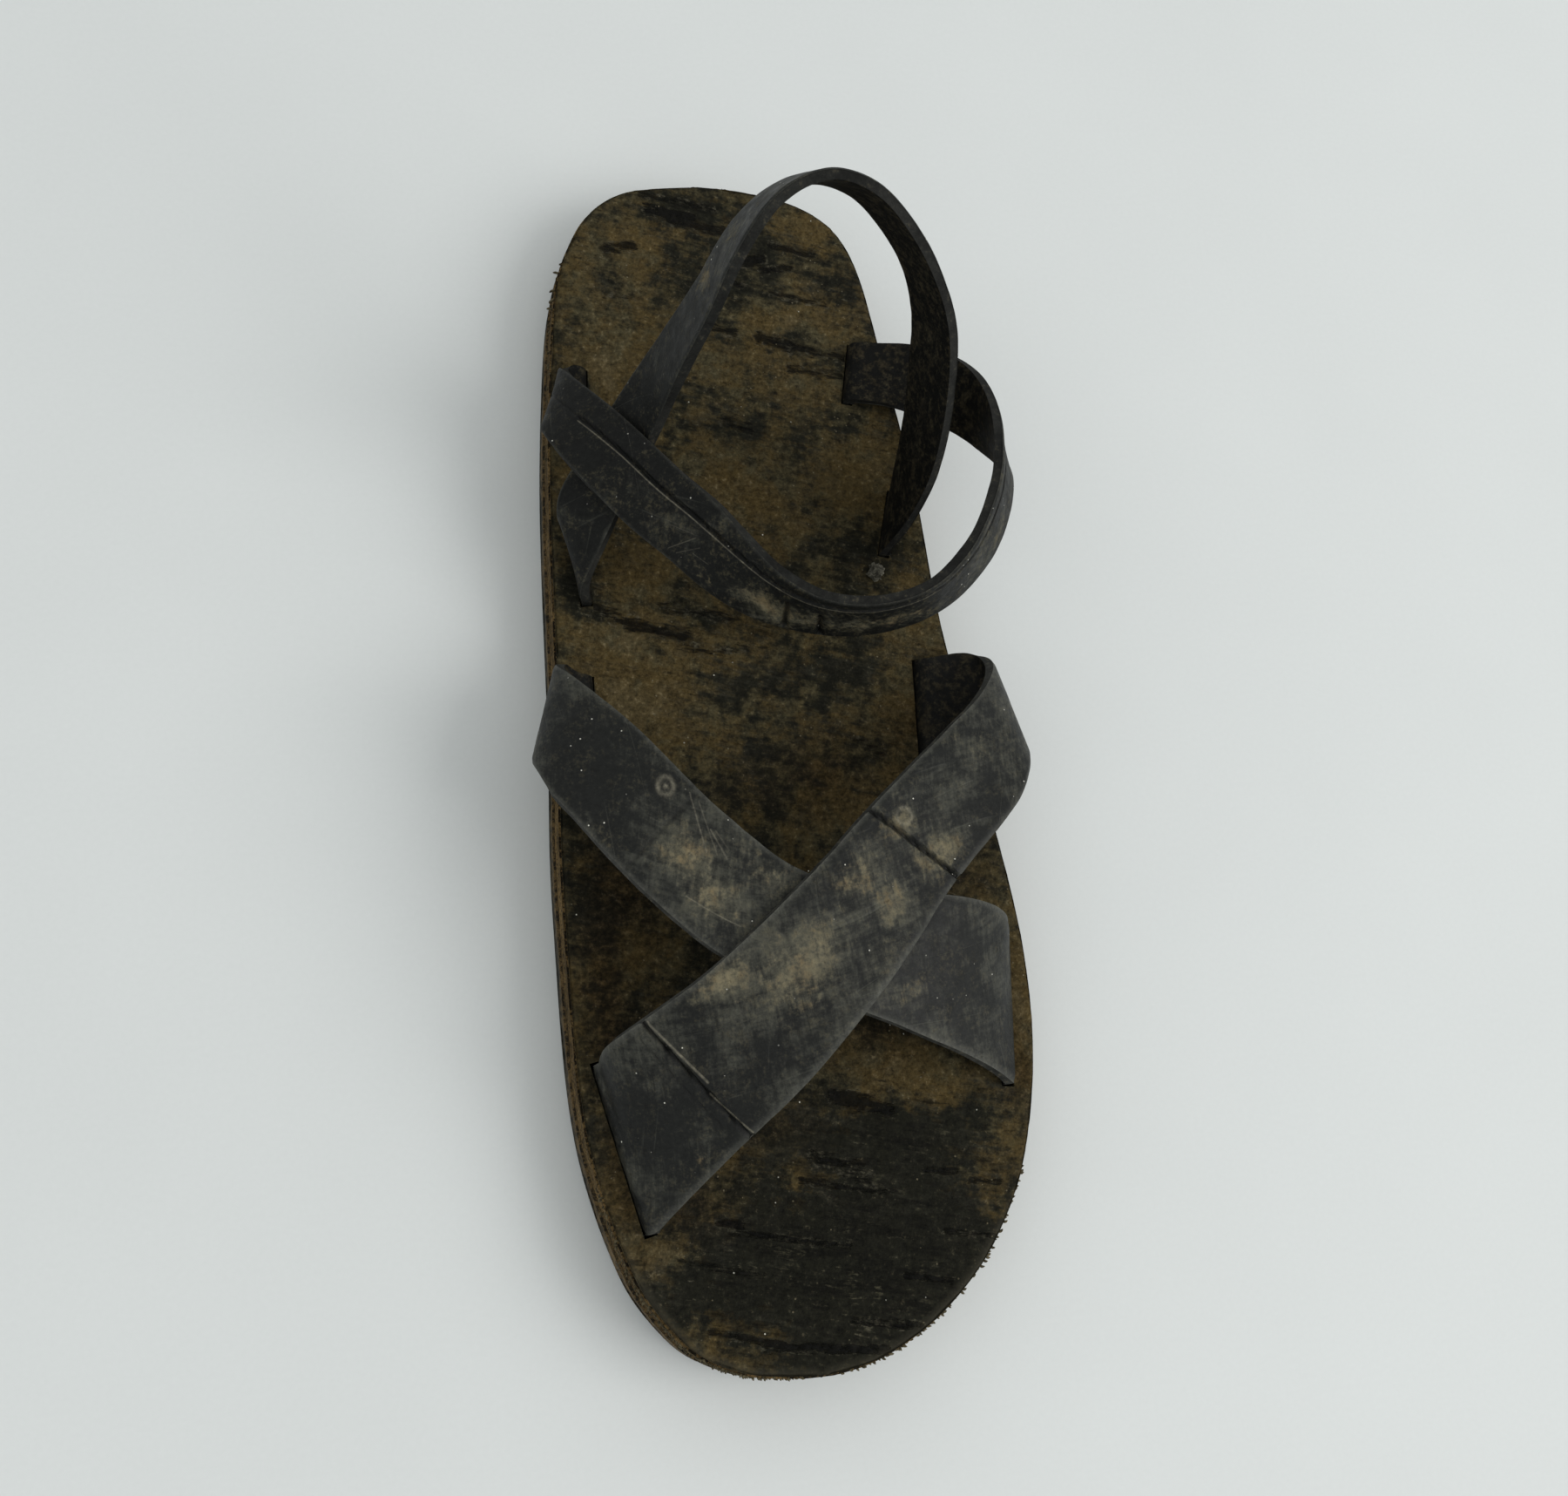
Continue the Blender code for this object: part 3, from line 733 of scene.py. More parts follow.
class Finish:
    """A material on one Principled shader, built by expressions."""

    def __init__(self, name):
        self.material = bpy.data.materials.new(name)
        self.material.use_nodes = True
        self.tree = self.material.node_tree
        self.shader = self.tree.nodes["Principled BSDF"]

    def node(self, kind, settings=(), values=(), output=0):
        node = self.tree.nodes.new(kind)
        for key, value in dict(settings).items():
            setattr(node, key, value)
        for key, value in dict(values).items():
            self.feed(node.inputs[key], value)
        return Value(self, node.outputs[output])

    def feed(self, socket, value):
        if isinstance(value, Value):
            self.tree.links.new(value.socket, socket)
        elif socket.type == "RGBA" and len(value) == 3:
            socket.default_value = (*value, 1.0)
        else:
            socket.default_value = value

    def vector(self, operation, first, second, output=0):
        second_input = 3 if operation == "SCALE" else 1
        values = {0: first, second_input: second}
        return self.node("ShaderNodeVectorMath", {"operation": operation}, values, output)

    def place(self):
        return self.node("ShaderNodeTexCoord", output="Object")

    def held(self, *names):
        """Numbers that the piece's mesh holds at each point."""
        return [self.node("ShaderNodeAttribute", {"attribute_name": name}, output="Fac") for name in names]

    def parts_of(self, vector):
        split = self.node("ShaderNodeSeparateXYZ", values={"Vector": vector}).socket.node
        return [Value(self, output) for output in split.outputs]

    def turned(self, vector, angle, scale):
        """A vector turned about Z by degrees and then scaled."""
        turn = self.node(
            "ShaderNodeVectorRotate",
            {"rotation_type": "Z_AXIS"},
            {"Vector": vector, "Angle": radians(angle)},
        )
        return self.node("ShaderNodeVectorMath", {"operation": "MULTIPLY"}, {0: turn, 1: scale})

    def cloud(self, vector, size, detail=3.0, roughness=0.55):
        """Noise whose main blobs are about this size in millimetres."""
        values = {"Vector": vector, "Scale": 1.0 / (size * MM), "Detail": detail, "Roughness": roughness}
        return self.node("ShaderNodeTexNoise", values=values)

    def clouds(self, vector, *grades):
        """A noise for each size, detail and roughness."""
        return [self.cloud(vector, *grade) for grade in grades]

    def streaks(self, vector, angle, stretch, *grade):
        """Noise drawn out along a line at an angle."""
        return self.cloud(self.turned(vector, angle, (stretch, 1.0, 1.0)), *grade)

    def grains(self, vector, size):
        values = {"Vector": vector, "Scale": 1.0 / (size * MM)}
        return self.node("ShaderNodeTexVoronoi", values=values, output="Distance")

    def mix(self, share, first, second):
        return self.node(
            "ShaderNodeMix", {"data_type": "RGBA"}, {0: share, 6: first, 7: second}, output=2
        )

    def shade(self, color, factor):
        """A colour made lighter or darker by a number."""
        return self.node("ShaderNodeVectorMath", {"operation": "SCALE"}, {0: color, 3: factor})

    def relief(self, height, depth):
        """Bumps of a height from 0 to 1 times a depth in millimetres."""
        return self.node("ShaderNodeBump", values={"Height": height, "Distance": depth * MM, "Strength": 1.0})

    def coat(self, **values):
        """Sets the shader's own sockets, named with _ for each space."""
        for key, value in values.items():
            self.feed(self.shader.inputs[key.replace("_", " ")], value)


def scaled(color, factor):
    return tuple(part * factor for part in color)


def liner_finish(sole):
    """Worn inner liner: black rubber under brown earth, slanted lines, torn black scars, pale grit and
    painted shade under the bands.
    """
    finish = Finish("worn_liner")
    place = finish.place()
    lines = finish.streaks(place, 12.0, 0.13, 1.7, 4.0, 0.68)
    rip = finish.streaks(place, 12.0, 0.22, 0.75, 4.0, 0.70)
    hair = finish.streaks(place, 15.0, 0.05, 0.8, 2.0, 0.6)
    broad, cloudy, fleck, small, grain = finish.clouds(
        place, (15.0, 5.0, 0.62), (6.5, 5.0, 0.68), (3.6, 5.0, 0.72), (1.5, 4.0, 0.70), (0.65, 2.0, 0.75)
    )
    dust, soot, scar, rim, shade = finish.held("dust", "soot", "scar", "rim", "shade")
    amount = dust * 1.05 + (broad - 0.5) * 2.6 + (fleck - 0.5) * 2.2 + (lines - 0.5) * 1.6
    earthy = (amount - soot * 1.05 + 0.50).rise(0.0, 0.9)
    rust = (cloudy * 0.6 + broad * 0.4 + dust * 0.08).rise(0.42, 0.58)
    warm = (sole.earth[0] * 1.12, sole.earth[1] * 0.90, sole.earth[2] * 0.60)
    color = finish.mix(earthy, sole.rubber, finish.mix(rust * 0.85, sole.earth, warm))
    film = (cloudy * 0.8 + hair * 0.35).rise(0.54, 0.74) * (1.0 - dust * 0.6) * (1.0 - soot * 0.7)
    color = finish.mix(film * 0.32, color, (0.050, 0.047, 0.033))
    tan = (dust + (cloudy - 0.5) * 1.5 - 0.52).rise(0.0, 0.6)
    color = finish.mix(tan * 0.60, color, (0.092, 0.073, 0.039))
    torn = (small - 0.5) * 3.2 + (fleck - 0.5) * 3.4 + (grain - 0.5) * 1.2
    ragged = (rip - 0.5) * 2.4 + (lines - 0.5) * 2.0 + torn * 0.45
    wound = (scar * 1.3 + ragged - 0.52).rise(0.0, 0.62) * scar.rise(0.02, 0.25)
    smudge = soot * 0.55 + (lines - 0.5) * 3.0 + (cloudy - 0.5) * 2.0 + (fleck - 0.5) * 1.6 - 0.36
    color = finish.mix(smudge.rise(0.0, 0.6) * 0.82, color, (0.0040, 0.0038, 0.0026))
    flaked = (cloudy * 0.7 + rip * 0.8 + fleck * 0.5).rise(1.08, 1.32) * soot.most(0.0).least(1.0)
    color = finish.mix(flaked * 0.55, color, (0.085, 0.077, 0.048))
    chalk = (small * 1.0 + grain * 0.5 + dust * 0.08).rise(0.86, 1.06) * (1.0 - soot * 0.5)
    color = finish.mix(chalk * 0.32, color, sole.dust)
    color = finish.mix(wound * 0.90, color, (0.0032, 0.0031, 0.0026))
    lip = (scar * 1.3 + (rip - 0.5) * 3.0 - 0.40).rise(0.0, 0.2) * (1.0 - wound) * small.rise(0.46, 0.62)
    color = finish.mix(lip * 0.50, color, (0.095, 0.086, 0.060))
    # Painted shade under and beside the bands: a dark rusty brown laid over the colour where the shade
    # patches are
    painted_shade_color = finish.mix((small + fleck * 0.5).rise(0.66, 0.90), (0.015, 0.010, 0.004), (0.040, 0.025, 0.010))
    color = finish.mix(shade * (0.45 + broad * 0.6), color, painted_shade_color)
    tone = 1.0 + (grain - 0.5) * 1.5 + (small - 0.5) * 2.4 + (fleck - 0.5) * 0.8
    color = finish.shade(color, tone.most(0.15))
    patchy = finish.cloud(place, 7.0, 2.0, 0.5).rise(0.54, 0.64)
    crumb = finish.grains(place, 2.0).rise(0.14, 0.08) * patchy
    color = finish.mix(crumb * 0.45, color, (0.26, 0.22, 0.14))
    grit = finish.grains(place, 4.1).rise(0.055, 0.030) * finish.cloud(place, 13.0, 2.0, 0.5).rise(0.52, 0.60)
    color = finish.mix(grit, color, (0.72, 0.70, 0.60))
    color = finish.mix(rim * 0.45, color, (0.060, 0.054, 0.038))
    height = lines * 0.35 + fleck * 0.50 + small * 0.40 + grain * 0.20 - wound * 1.0 + crumb * 0.6 + grit
    finish.coat(
        Base_Color=color,
        Roughness=0.62 + earthy * 0.26 + (fleck - 0.5) * 0.3,
        Specular_IOR_Level=0.06,
        Normal=finish.relief(height, 0.34),
    )
    return finish.material


def plies_finish(sole):
    """Cut edge of the cord plies: ragged rows of cord ends in dark rubber."""
    finish = Finish("cut_cord_plies")
    place = finish.place()
    wall = finish.node("ShaderNodeAttribute", {"attribute_name": "wall"}, output="Vector")
    around, height, _ = finish.parts_of(wall)
    wobble = finish.cloud(place, 7.0, 3.0, 0.6) - 0.5
    rough = finish.cloud(place, 1.6, 3.0, 0.7) - 0.5
    rows = height / (1.9 * MM) + wobble * 1.5 + rough * 0.9
    row = rows.whole()
    columns = around / (1.15 * MM) + row * 0.37 + wobble * 5.0 + rough * 2.0
    across = columns.part() - 0.5
    upward = rows.part() - 0.5
    reach = (across * across + upward * upward * 0.9) ** 0.5
    end = 1.0 - reach.rise(0.18, 0.52)
    seam = abs(upward).rise(0.34, 0.50)
    torn = finish.cloud(place, 1.3, 4.0, 0.75)
    fuzz = finish.cloud(finish.turned(place, 0.0, (1.0, 1.0, 0.35)), 0.6, 3.0, 0.75)
    dirt = finish.cloud(place, 9.0, 4.0, 0.65).rise(0.40, 0.62)
    bright = (end * 0.34 + torn * 1.1 + fuzz * 0.7 - seam * 0.25 - 0.72).rise(0.0, 0.38)
    cord = finish.mix(dirt, scaled(sole.cord, 1.25), scaled(sole.cord, 0.55))
    color = finish.mix(bright, (0.013, 0.010, 0.006), cord)
    smeared = finish.cloud(place, 6.0, 4.0, 0.7).rise(0.52, 0.66)
    color = finish.mix(smeared * 0.50, color, (0.022, 0.018, 0.011))
    color = finish.shade(color, 0.45 + fuzz * 1.15)
    finish.coat(
        Base_Color=color,
        Roughness=0.95,
        Specular_IOR_Level=0.10,
        Normal=finish.relief(end * 0.35 - seam * 0.3 + torn * 0.8 + fuzz * 0.4, 0.45),
    )
    return finish.material


def tread_finish(sole):
    """Tread rubber: dark grey, knife-cut and rubbed tan at the side and scuffed with dust below."""
    finish = Finish("tread_rubber")
    place = finish.place()
    broad, fleck, grain = finish.clouds(place, (14.0, 4.0, 0.6), (1.8, 4.0, 0.65), (0.4, 2.0, 0.7))
    shave = finish.cloud(finish.turned(place, 0.0, (0.25, 0.25, 2.2)), 3.0, 3.0, 0.6)
    dusty = (broad * 0.8 + fleck * 0.6).rise(0.62, 0.95) * 0.55
    color = finish.mix(fleck.rise(0.35, 0.75), scaled(sole.rubber, 1.3), (0.034, 0.034, 0.031))
    color = finish.mix(dusty, color, scaled(sole.dust, 0.8))
    _, _, height = finish.parts_of(place)
    upper = (height / sole.tread + (broad - 0.5) * 1.2 + (fleck - 0.5) * 0.9).rise(0.05, 0.75)
    tan = (fleck * 0.6 + grain * 0.4).rise(0.42, 0.58)
    rubbed = finish.mix(tan, (0.016, 0.013, 0.008), scaled(sole.cord, 1.1))
    color = finish.mix(upper * 0.80, color, rubbed)
    color = finish.shade(color, 0.55 + grain * 0.9)
    finish.coat(
        Base_Color=color,
        Roughness=0.80 + dusty * 0.2,
        Specular_IOR_Level=0.2,
        Normal=finish.relief(shave * 0.9 + fleck * 0.35 + grain * 0.15, 0.30),
    )
    return finish.material


def drawn_line(finish, layout, cut, wide):
    """A thin line with soft edges from one end of a cut to the other, on a band's own layout."""
    start = Vector((cut.u0 * MM, cut.v0 * wide, 0.0))
    run = Vector((cut.u1 * MM, cut.v1 * wide, 0.0)) - start
    gone = finish.vector("SUBTRACT", layout, start)
    share = finish.vector("DOT_PRODUCT", gone, run / run.length_squared, output=1)
    nearest = finish.vector("SCALE", run, share.most(0.0).least(1.0))
    gap = finish.vector("DISTANCE", gone, nearest, output=1)
    return gap.rise(cut.width * 0.9 * MM, cut.width * 0.2 * MM) * cut.depth


def band_finish(bands, band):
    """Face of a band: black rubber with a grey bloom, rubbed-in khaki dust, thin scratches, white grit and
    painted shade.
    """
    wide = band_width(band, bands)
    look = FRONT_LOOK if band.front else REAR_LOOK
    finish = Finish(band.name + "_rubber")
    place = finish.place()
    layout = finish.node("ShaderNodeUVMap", {"uv_map": "UVMap"})
    broad, cloudy, fleck, small, grain = finish.clouds(
        place, (13.0, 5.0, 0.62), (6.0, 5.0, 0.66), (3.4, 5.0, 0.70), (1.4, 4.0, 0.70), (0.60, 2.0, 0.75)
    )
    drawn = finish.streaks(layout, 24.0, 0.16, 1.5, 4.0, 0.65)
    crossed = finish.streaks(layout, -52.0, 0.20, 1.1, 4.0, 0.70)
    dust, groove, scratch, inside = finish.held("dust", "groove", "scratch", "inside")
    soot, pared = finish.held("soot", "pared")
    wear = (broad - 0.5) * 2.4 + (cloudy - 0.5) * 1.3 + (fleck - 0.5) * 0.8 + (drawn + crossed - 1.0) * 1.3
    # Painted shade: the band's shade patches take away grey bloom and rubbed dust here and below, and add
    # black
    bloom = (wear + dust * 0.35 - soot * 0.65 + look.bloom).rise(0.0, 1.0)
    color = finish.mix(bloom, scaled(bands.rubber, look.dark), scaled(bands.bloom, look.dark))
    blot = (fleck * 0.7 + small * 0.5).rise(0.56, 0.74)
    stain = finish.mix(blot, (0.0035, 0.0035, 0.003), (0.026, 0.021, 0.012))
    color = finish.mix(inside, color, stain)
    rubbed = dust * 1.1 + (broad - 0.5) * 1.4 + (cloudy - 0.5) * 0.8 + (drawn + crossed - 1.0) * 0.9
    rubbed = (rubbed - soot * 0.5 - 0.20).rise(0.0, 0.9)
    color = finish.mix(rubbed * 0.52, color, (0.096, 0.090, 0.062))
    patchy = (fleck - 0.5) * 2.0 + (cloudy - 0.5) * 1.6 + (small - 0.5) * 1.8 + (crossed - 0.5) * 1.0
    smear = (dust * 1.25 + patchy - 0.50).rise(0.0, 1.3)
    warm = finish.cloud(place, 5.0, 3.0, 0.6).rise(0.45, 0.62)
    khaki = finish.mix(warm, bands.dust, (bands.dust[0], bands.dust[1] * 0.86, bands.dust[2] * 0.72))
    color = finish.mix(smear * 0.80, color, khaki)
    thin = thin_lines(finish, layout, 21.0, 7.0).most(thin_lines(finish, layout, -37.0, 9.0))
    color = finish.mix(thin * (1.0 - inside) * 0.10, color, (0.15, 0.15, 0.12))
    speckled = (small * 0.8 + grain * 0.5 + (cloudy - 0.5) * 0.7 + dust * 0.1).rise(0.66, 0.90)
    speckled = speckled * look.specks * (1.0 - inside * 0.5)
    color = finish.mix(speckled, color, (0.070, 0.060, 0.034))
    worn_side = pared * (look.side + fleck * look.side_fleck)
    color = finish.mix(worn_side, color, (0.100, 0.100, 0.086))
    torn = (small - 0.5) * 2.2 + (fleck - 0.5) * 1.8 + (cloudy - 0.5) * 1.2 + (drawn - crossed) * 1.6
    black = (torn + soot * 0.35 - 0.30).rise(0.0, 0.7) * 0.80
    color = finish.mix(black, color, (0.0045, 0.0045, 0.0042))
    color = finish.mix(groove * 0.88, color, (0.003, 0.003, 0.003))
    for cut in BAND_SCRATCHES[band.name]:
        scratch = scratch.most(drawn_line(finish, layout, cut, wide))
    color = finish.mix(scratch * (0.15 + small * 0.75), color, (0.22, 0.20, 0.15))
    tone = 1.0 + (grain - 0.5) * 1.0 + (small - 0.5) * 1.5
    color = finish.shade(color, tone.most(0.15))
    speck = finish.grains(place, 2.9).rise(0.080, 0.045) * finish.cloud(place, 9.0, 2.0).rise(0.50, 0.58)
    speck = speck * (1.0 - inside)
    color = finish.mix(speck, color, (0.70, 0.68, 0.60))
    height = cloudy * 0.6 + fleck * 0.35 + small * 0.20 + grain * 0.12 + speck * 1.2 - thin * 0.2
    finish.coat(
        Base_Color=color,
        Roughness=look.rough + smear * 0.30 + (fleck - 0.5) * 0.6 + inside * 0.2,
        Specular_IOR_Level=look.gloss,
        Normal=finish.relief(height, 0.26),
    )
    return finish.material


def thin_lines(finish, layout, angle, spread):
    """Long hair-thin scratches at an angle to the band, here and there."""
    drift = finish.streaks(layout, angle, 0.07, spread, 1.0, 0.4)
    apart = finish.streaks(layout, angle, 0.5, spread * 1.3, 2.0, 0.5)
    return abs(drift - 0.52).rise(0.009, 0.003) * apart.rise(0.52, 0.62)


def edge_finish(bands, name, dark):
    """Cut edge of a band, with fine lines left by the knife."""
    finish = Finish(name)
    place = finish.place()
    fleck, broad, grain = finish.clouds(place, (1.5, 4.0, 0.65), (10.0, 3.0, 0.6), (0.35, 2.0, 0.7))
    pale = (broad * 0.7 + fleck * 0.5).rise(0.40, 0.80)
    color = finish.mix(pale, scaled(bands.edge, 0.30 * dark), scaled(bands.edge, dark))
    color = finish.mix(fleck.rise(0.56, 0.75) * 0.40, color, scaled(bands.dust, 0.3 + dark * 0.7))
    color = finish.shade(color, 0.5 + grain * 1.0)
    finish.coat(
        Base_Color=color,
        Roughness=0.78,
        Specular_IOR_Level=0.15,
        Normal=finish.relief(fleck * 0.5 + grain * 0.3, 0.25),
    )
    return finish.material


def fray_finish():
    """Khaki cord ends, some darker than others."""
    finish = Finish("frayed_cord")
    place = finish.place()
    fleck = finish.cloud(place, 1.1, 3.0, 0.6)
    color = finish.mix(fleck.rise(0.35, 0.65), (0.040, 0.033, 0.019), (0.120, 0.100, 0.058))
    finish.coat(Base_Color=color, Roughness=0.95, Specular_IOR_Level=0.15)
    return finish.material


def mud_finish():
    """Dry grey-brown mud with a coarse grain."""
    finish = Finish("dried_mud")
    place = finish.place()
    fleck, grain = finish.clouds(place, (1.4, 5.0, 0.7), (0.4, 2.0, 0.7))
    color = finish.mix(fleck.rise(0.35, 0.65), (0.045, 0.042, 0.032), (0.17, 0.16, 0.125))
    finish.coat(
        Base_Color=finish.shade(color, 0.6 + grain * 0.8),
        Roughness=0.95,
        Specular_IOR_Level=0.15,
        Normal=finish.relief(fleck + grain * 0.4, 0.5),
    )
    return finish.material


def floor_finish(color):
    """Pale matt floor with a faint unevenness."""
    finish = Finish("pale_floor")
    place = finish.place()
    broad, grain = finish.clouds(place, (60.0, 3.0, 0.5), (1.2, 3.0, 0.6))
    tone = 0.975 + (broad - 0.5) * 0.05 + (grain - 0.5) * 0.05
    finish.coat(Base_Color=finish.shade(color, tone), Roughness=0.85, Specular_IOR_Level=0.2)
    return finish.material


def edit_mode():
    bpy.ops.object.mode_set(mode="EDIT")


def object_mode():
    bpy.ops.object.mode_set(mode="OBJECT")


def clear_selection():
    if bpy.context.object and bpy.context.object.mode != "OBJECT":
        object_mode()
    bpy.ops.object.select_all(action="DESELECT")


def select_only(piece):
    clear_selection()
    bpy.context.view_layer.objects.active = piece
    piece.select_set(True)


def face_out():
    """In edit mode, turns every face outwards."""
    bpy.ops.mesh.select_all(action="SELECT")
    bpy.ops.mesh.normals_make_consistent(inside=False)


def named(name):
    piece = bpy.context.object
    piece.name = name
    piece.data.name = name
    return piece


def pick(kind, test):
    """In edit mode, selects the verts, edges or faces that pass a test and nothing else."""
    bpy.ops.mesh.select_mode(type={"verts": "VERT", "edges": "EDGE", "faces": "FACE"}[kind])
    bpy.ops.mesh.select_all(action="DESELECT")
    shape = bmesh.from_edit_mesh(bpy.context.object.data)
    for item in getattr(shape, kind):
        if test(item):
            item.select_set(True)
    shape.select_flush_mode()
    bmesh.update_edit_mesh(bpy.context.object.data)


def apply_modifier(piece, kind, **settings):
    """Adds a modifier to a piece and applies it."""
    select_only(piece)
    step = piece.modifiers.new(kind.title(), kind)
    for key, value in settings.items():
        setattr(step, key, value)
    bpy.ops.object.modifier_apply(modifier=step.name)


def points_of(piece):
    """A piece's points as an array, a row for each."""
    places = np.empty(len(piece.data.vertices) * 3)
    piece.data.vertices.foreach_get("co", places)
    return places.reshape(-1, 3)


def hold(piece, **fields):
    """Stores numbers for each point of a piece, which its material reads."""
    for name, values in fields.items():
        layer = piece.data.attributes.new(name, "FLOAT", "POINT")
        layer.data.foreach_set("value", np.asarray(values, dtype=np.float32))


def push(piece, weights, distance, direction="NORMAL"):
    """Moves a piece's points by their weight times a distance, with a Displace modifier."""
    group = piece.vertex_groups.new(name="push")
    for index, weight in enumerate(weights):
        if weight > 0.0005:
            group.add([index], float(weight), "REPLACE")
    apply_modifier(
        piece, "DISPLACE", vertex_group="push", strength=distance, mid_level=0.0, direction=direction
    )
    piece.vertex_groups.remove(piece.vertex_groups["push"])


def segment_mask(places, start, end, width):
    """1 on a line from start to end, falling to 0 at half the width from it."""
    run = end - start
    share = np.clip((places - start) @ run / max(run @ run, 1e-12), 0.0, 1.0)
    gap = np.linalg.norm(places - start - share[:, None] * run, axis=1)
    return np.clip(1.0 - (gap / (width / 2.0)) ** 2, 0.0, 1.0)


def patch_mask(places, middle, halves):
    gap = np.linalg.norm((places - middle) / halves, axis=1)
    return np.clip(1.15 - gap * 0.85, 0.0, 1.0) ** 1.5


def spread(places, patches, scale=(1.0, 1.0)):
    """How strongly a list of patches covers each point."""
    cover = np.zeros(len(places))
    for patch in patches:
        mask = patch_mask(places, np.array(patch[:2]) * scale, np.array(patch[2:4]) * scale)
        cover = np.maximum(cover, mask * patch.strength)
    return cover


def rim_gap(places, sole):
    """Each point's distance from the outline, and how far along it that is from the toe's tip."""
    inner, outer = outline_sides(sole)
    best = np.full(len(places), 1.0)
    along = np.zeros(len(places))
    for side in (inner, outer):
        walked = 0.0
        for start, end in zip(side, side[1:]):
            start = np.array(start)
            run = np.array(end) - start
            length = np.linalg.norm(run)
            share = np.clip((places - start) @ run / (length * length), 0.0, 1.0)
            gap = np.linalg.norm(places - start - share[:, None] * run, axis=1)
            nearer = gap < best
            best[nearer] = gap[nearer]
            along[nearer] = walked + share[nearer] * length
            walked += length
    return best, along


def add_slab(name, sole, low, high, out):
    """One layer of the sole: a grid shaped row by row to the outline, drawn up into a slab and smoothed."""
    inner, outer = outline_sides(sole, out)
    clear_selection()
    bpy.ops.mesh.primitive_grid_add(
        x_subdivisions=SOLE_COLUMNS, y_subdivisions=len(inner) - 1, size=1.0, location=(0.0, 0.0, low)
    )
    slab = named(name)
    bpy.ops.object.transform_apply(location=True)
    places = points_of(slab)
    rows = sorted(set(np.round(places[:, 1], 5)))
    members = [np.flatnonzero(np.abs(places[:, 1] - y) < 1e-4) for y in rows]
    edit_mode()
    for y, group, left, right in zip(rows, members, inner, outer):
        wanted = set(group.tolist())
        pick("verts", lambda vert: vert.index in wanted)
        middle = (left + right) / 2.0
        bpy.ops.transform.resize(value=(right.x - left.x, 1.0, 1.0), center_override=(0.0, y, low))
        bpy.ops.transform.translate(value=(middle.x, middle.y - y, 0.0))
    bpy.ops.mesh.select_all(action="SELECT")
    bpy.ops.mesh.extrude_region_move(TRANSFORM_OT_translate={"value": (0.0, 0.0, high - low)})
    face_out()
    for level in (low, high):
        pick("edges", lambda edge: is_rim(edge, level))
        bpy.ops.transform.edge_crease(value=1.0)
    object_mode()
    apply_modifier(slab, "SUBSURF", levels=SOLE_LEVELS, render_levels=SOLE_LEVELS)
    return slab


def is_rim(edge, level):
    """Whether an edge lies at a height where a flat face meets the side."""
    if any(abs(vert.co.z - level) > 1e-6 for vert in edge.verts):
        return False
    return any(abs(face.normal.z) < 0.5 for face in edge.link_faces)


def lift_to_spring(slab, sole):
    """Bends a slab up at toe and heel as the sole's underside does."""
    places = points_of(slab)
    lifts = np.array([underside(y, sole) for y in places[:, 1]])
    push(slab, lifts / sole.toe_spring, sole.toe_spring, "Z")


def trim_wall(slab, sole):
    """Gives the side the slight waves of a hand-held knife."""
    places = points_of(slab)
    gap, along = rim_gap(places[:, :2], sole)
    weights = np.zeros(len(places))
    for index in np.flatnonzero(gap < WALL_REACH):
        side_offset = np.sign(places[index][0]) * 7.0
        wave = noise.noise(Vector((along[index] * WALL_WAVES_PER_METRE, side_offset, 0.0)))
        weights[index] = max(0.0, 0.5 + wave)
    side = np.array([vert.normal.xy.length for vert in slab.data.vertices])
    push(slab, weights * side, -WALL_WAVE)


def cut_slots(slab, sole, bands, room=SLOT_CLEARANCE, grooves=False):
    """Cuts the bands' slots through a slab, and the tread's grooves if asked."""
    clear_selection()
    tools = []
    depth = sole_height(sole) + sole.toe_spring
    for band in BANDS:
        width = band_width(band, bands)
        for slot in (band.start, band.end):
            middle, line = mouth(slot, sole)
            turn = (0.0, 0.0, atan2(line.y, line.x))
            bpy.ops.mesh.primitive_cube_add(size=1.0, location=(*middle, depth / 2.0), rotation=turn)
            tool = named("slot_tool")
            thick = bands.thickness + 2.0 * room
            tool.scale = (slot.width * width + 2.0 * room, thick, SLOT_TOOL_HEIGHT)
            tools.append(tool)
    if grooves:
        for index in range(GROOVE_COUNT):
            x = GROOVE_MIDDLE + (index - (GROOVE_COUNT - 1) / 2.0) * GROOVE_PITCH
            tools.append(add_groove_tool(x, sole))
    for tool in tools:
        apply_modifier(slab, "BOOLEAN", operation="DIFFERENCE", solver="MANIFOLD", object=tool)
        bpy.data.objects.remove(tool, do_unlink=True)


def add_groove_tool(x, sole):
    """A long box that follows the underside, drawn out section by section."""
    clear_selection()
    start = -sole.length / 2.0 - GROOVE_OVERRUN
    bpy.ops.mesh.primitive_plane_add(size=1.0, location=(x, start, 0.0), rotation=(pi / 2.0, 0.0, 0.0))
    tool = named("groove_tool")
    tool.scale = (GROOVE_WIDTH, 2.0 * GROOVE_DEPTH, 1.0)
    bpy.ops.object.transform_apply(location=True, rotation=True, scale=True)
    edit_mode()
    bpy.ops.mesh.select_all(action="SELECT")
    height = underside(-sole.length / 2.0, sole)
    bpy.ops.transform.translate(value=(0.0, 0.0, height))
    stride = (sole.length + 2.0 * GROOVE_OVERRUN) / GROOVE_STEPS
    for step in range(1, GROOVE_STEPS + 1):
        place = min(max(start + step * stride, -sole.length / 2.0), sole.length / 2.0)
        rise = underside(place, sole) - height
        height += rise
        bpy.ops.mesh.extrude_region_move(TRANSFORM_OT_translate={"value": (0.0, stride, rise)})
    face_out()
    object_mode()
    return tool


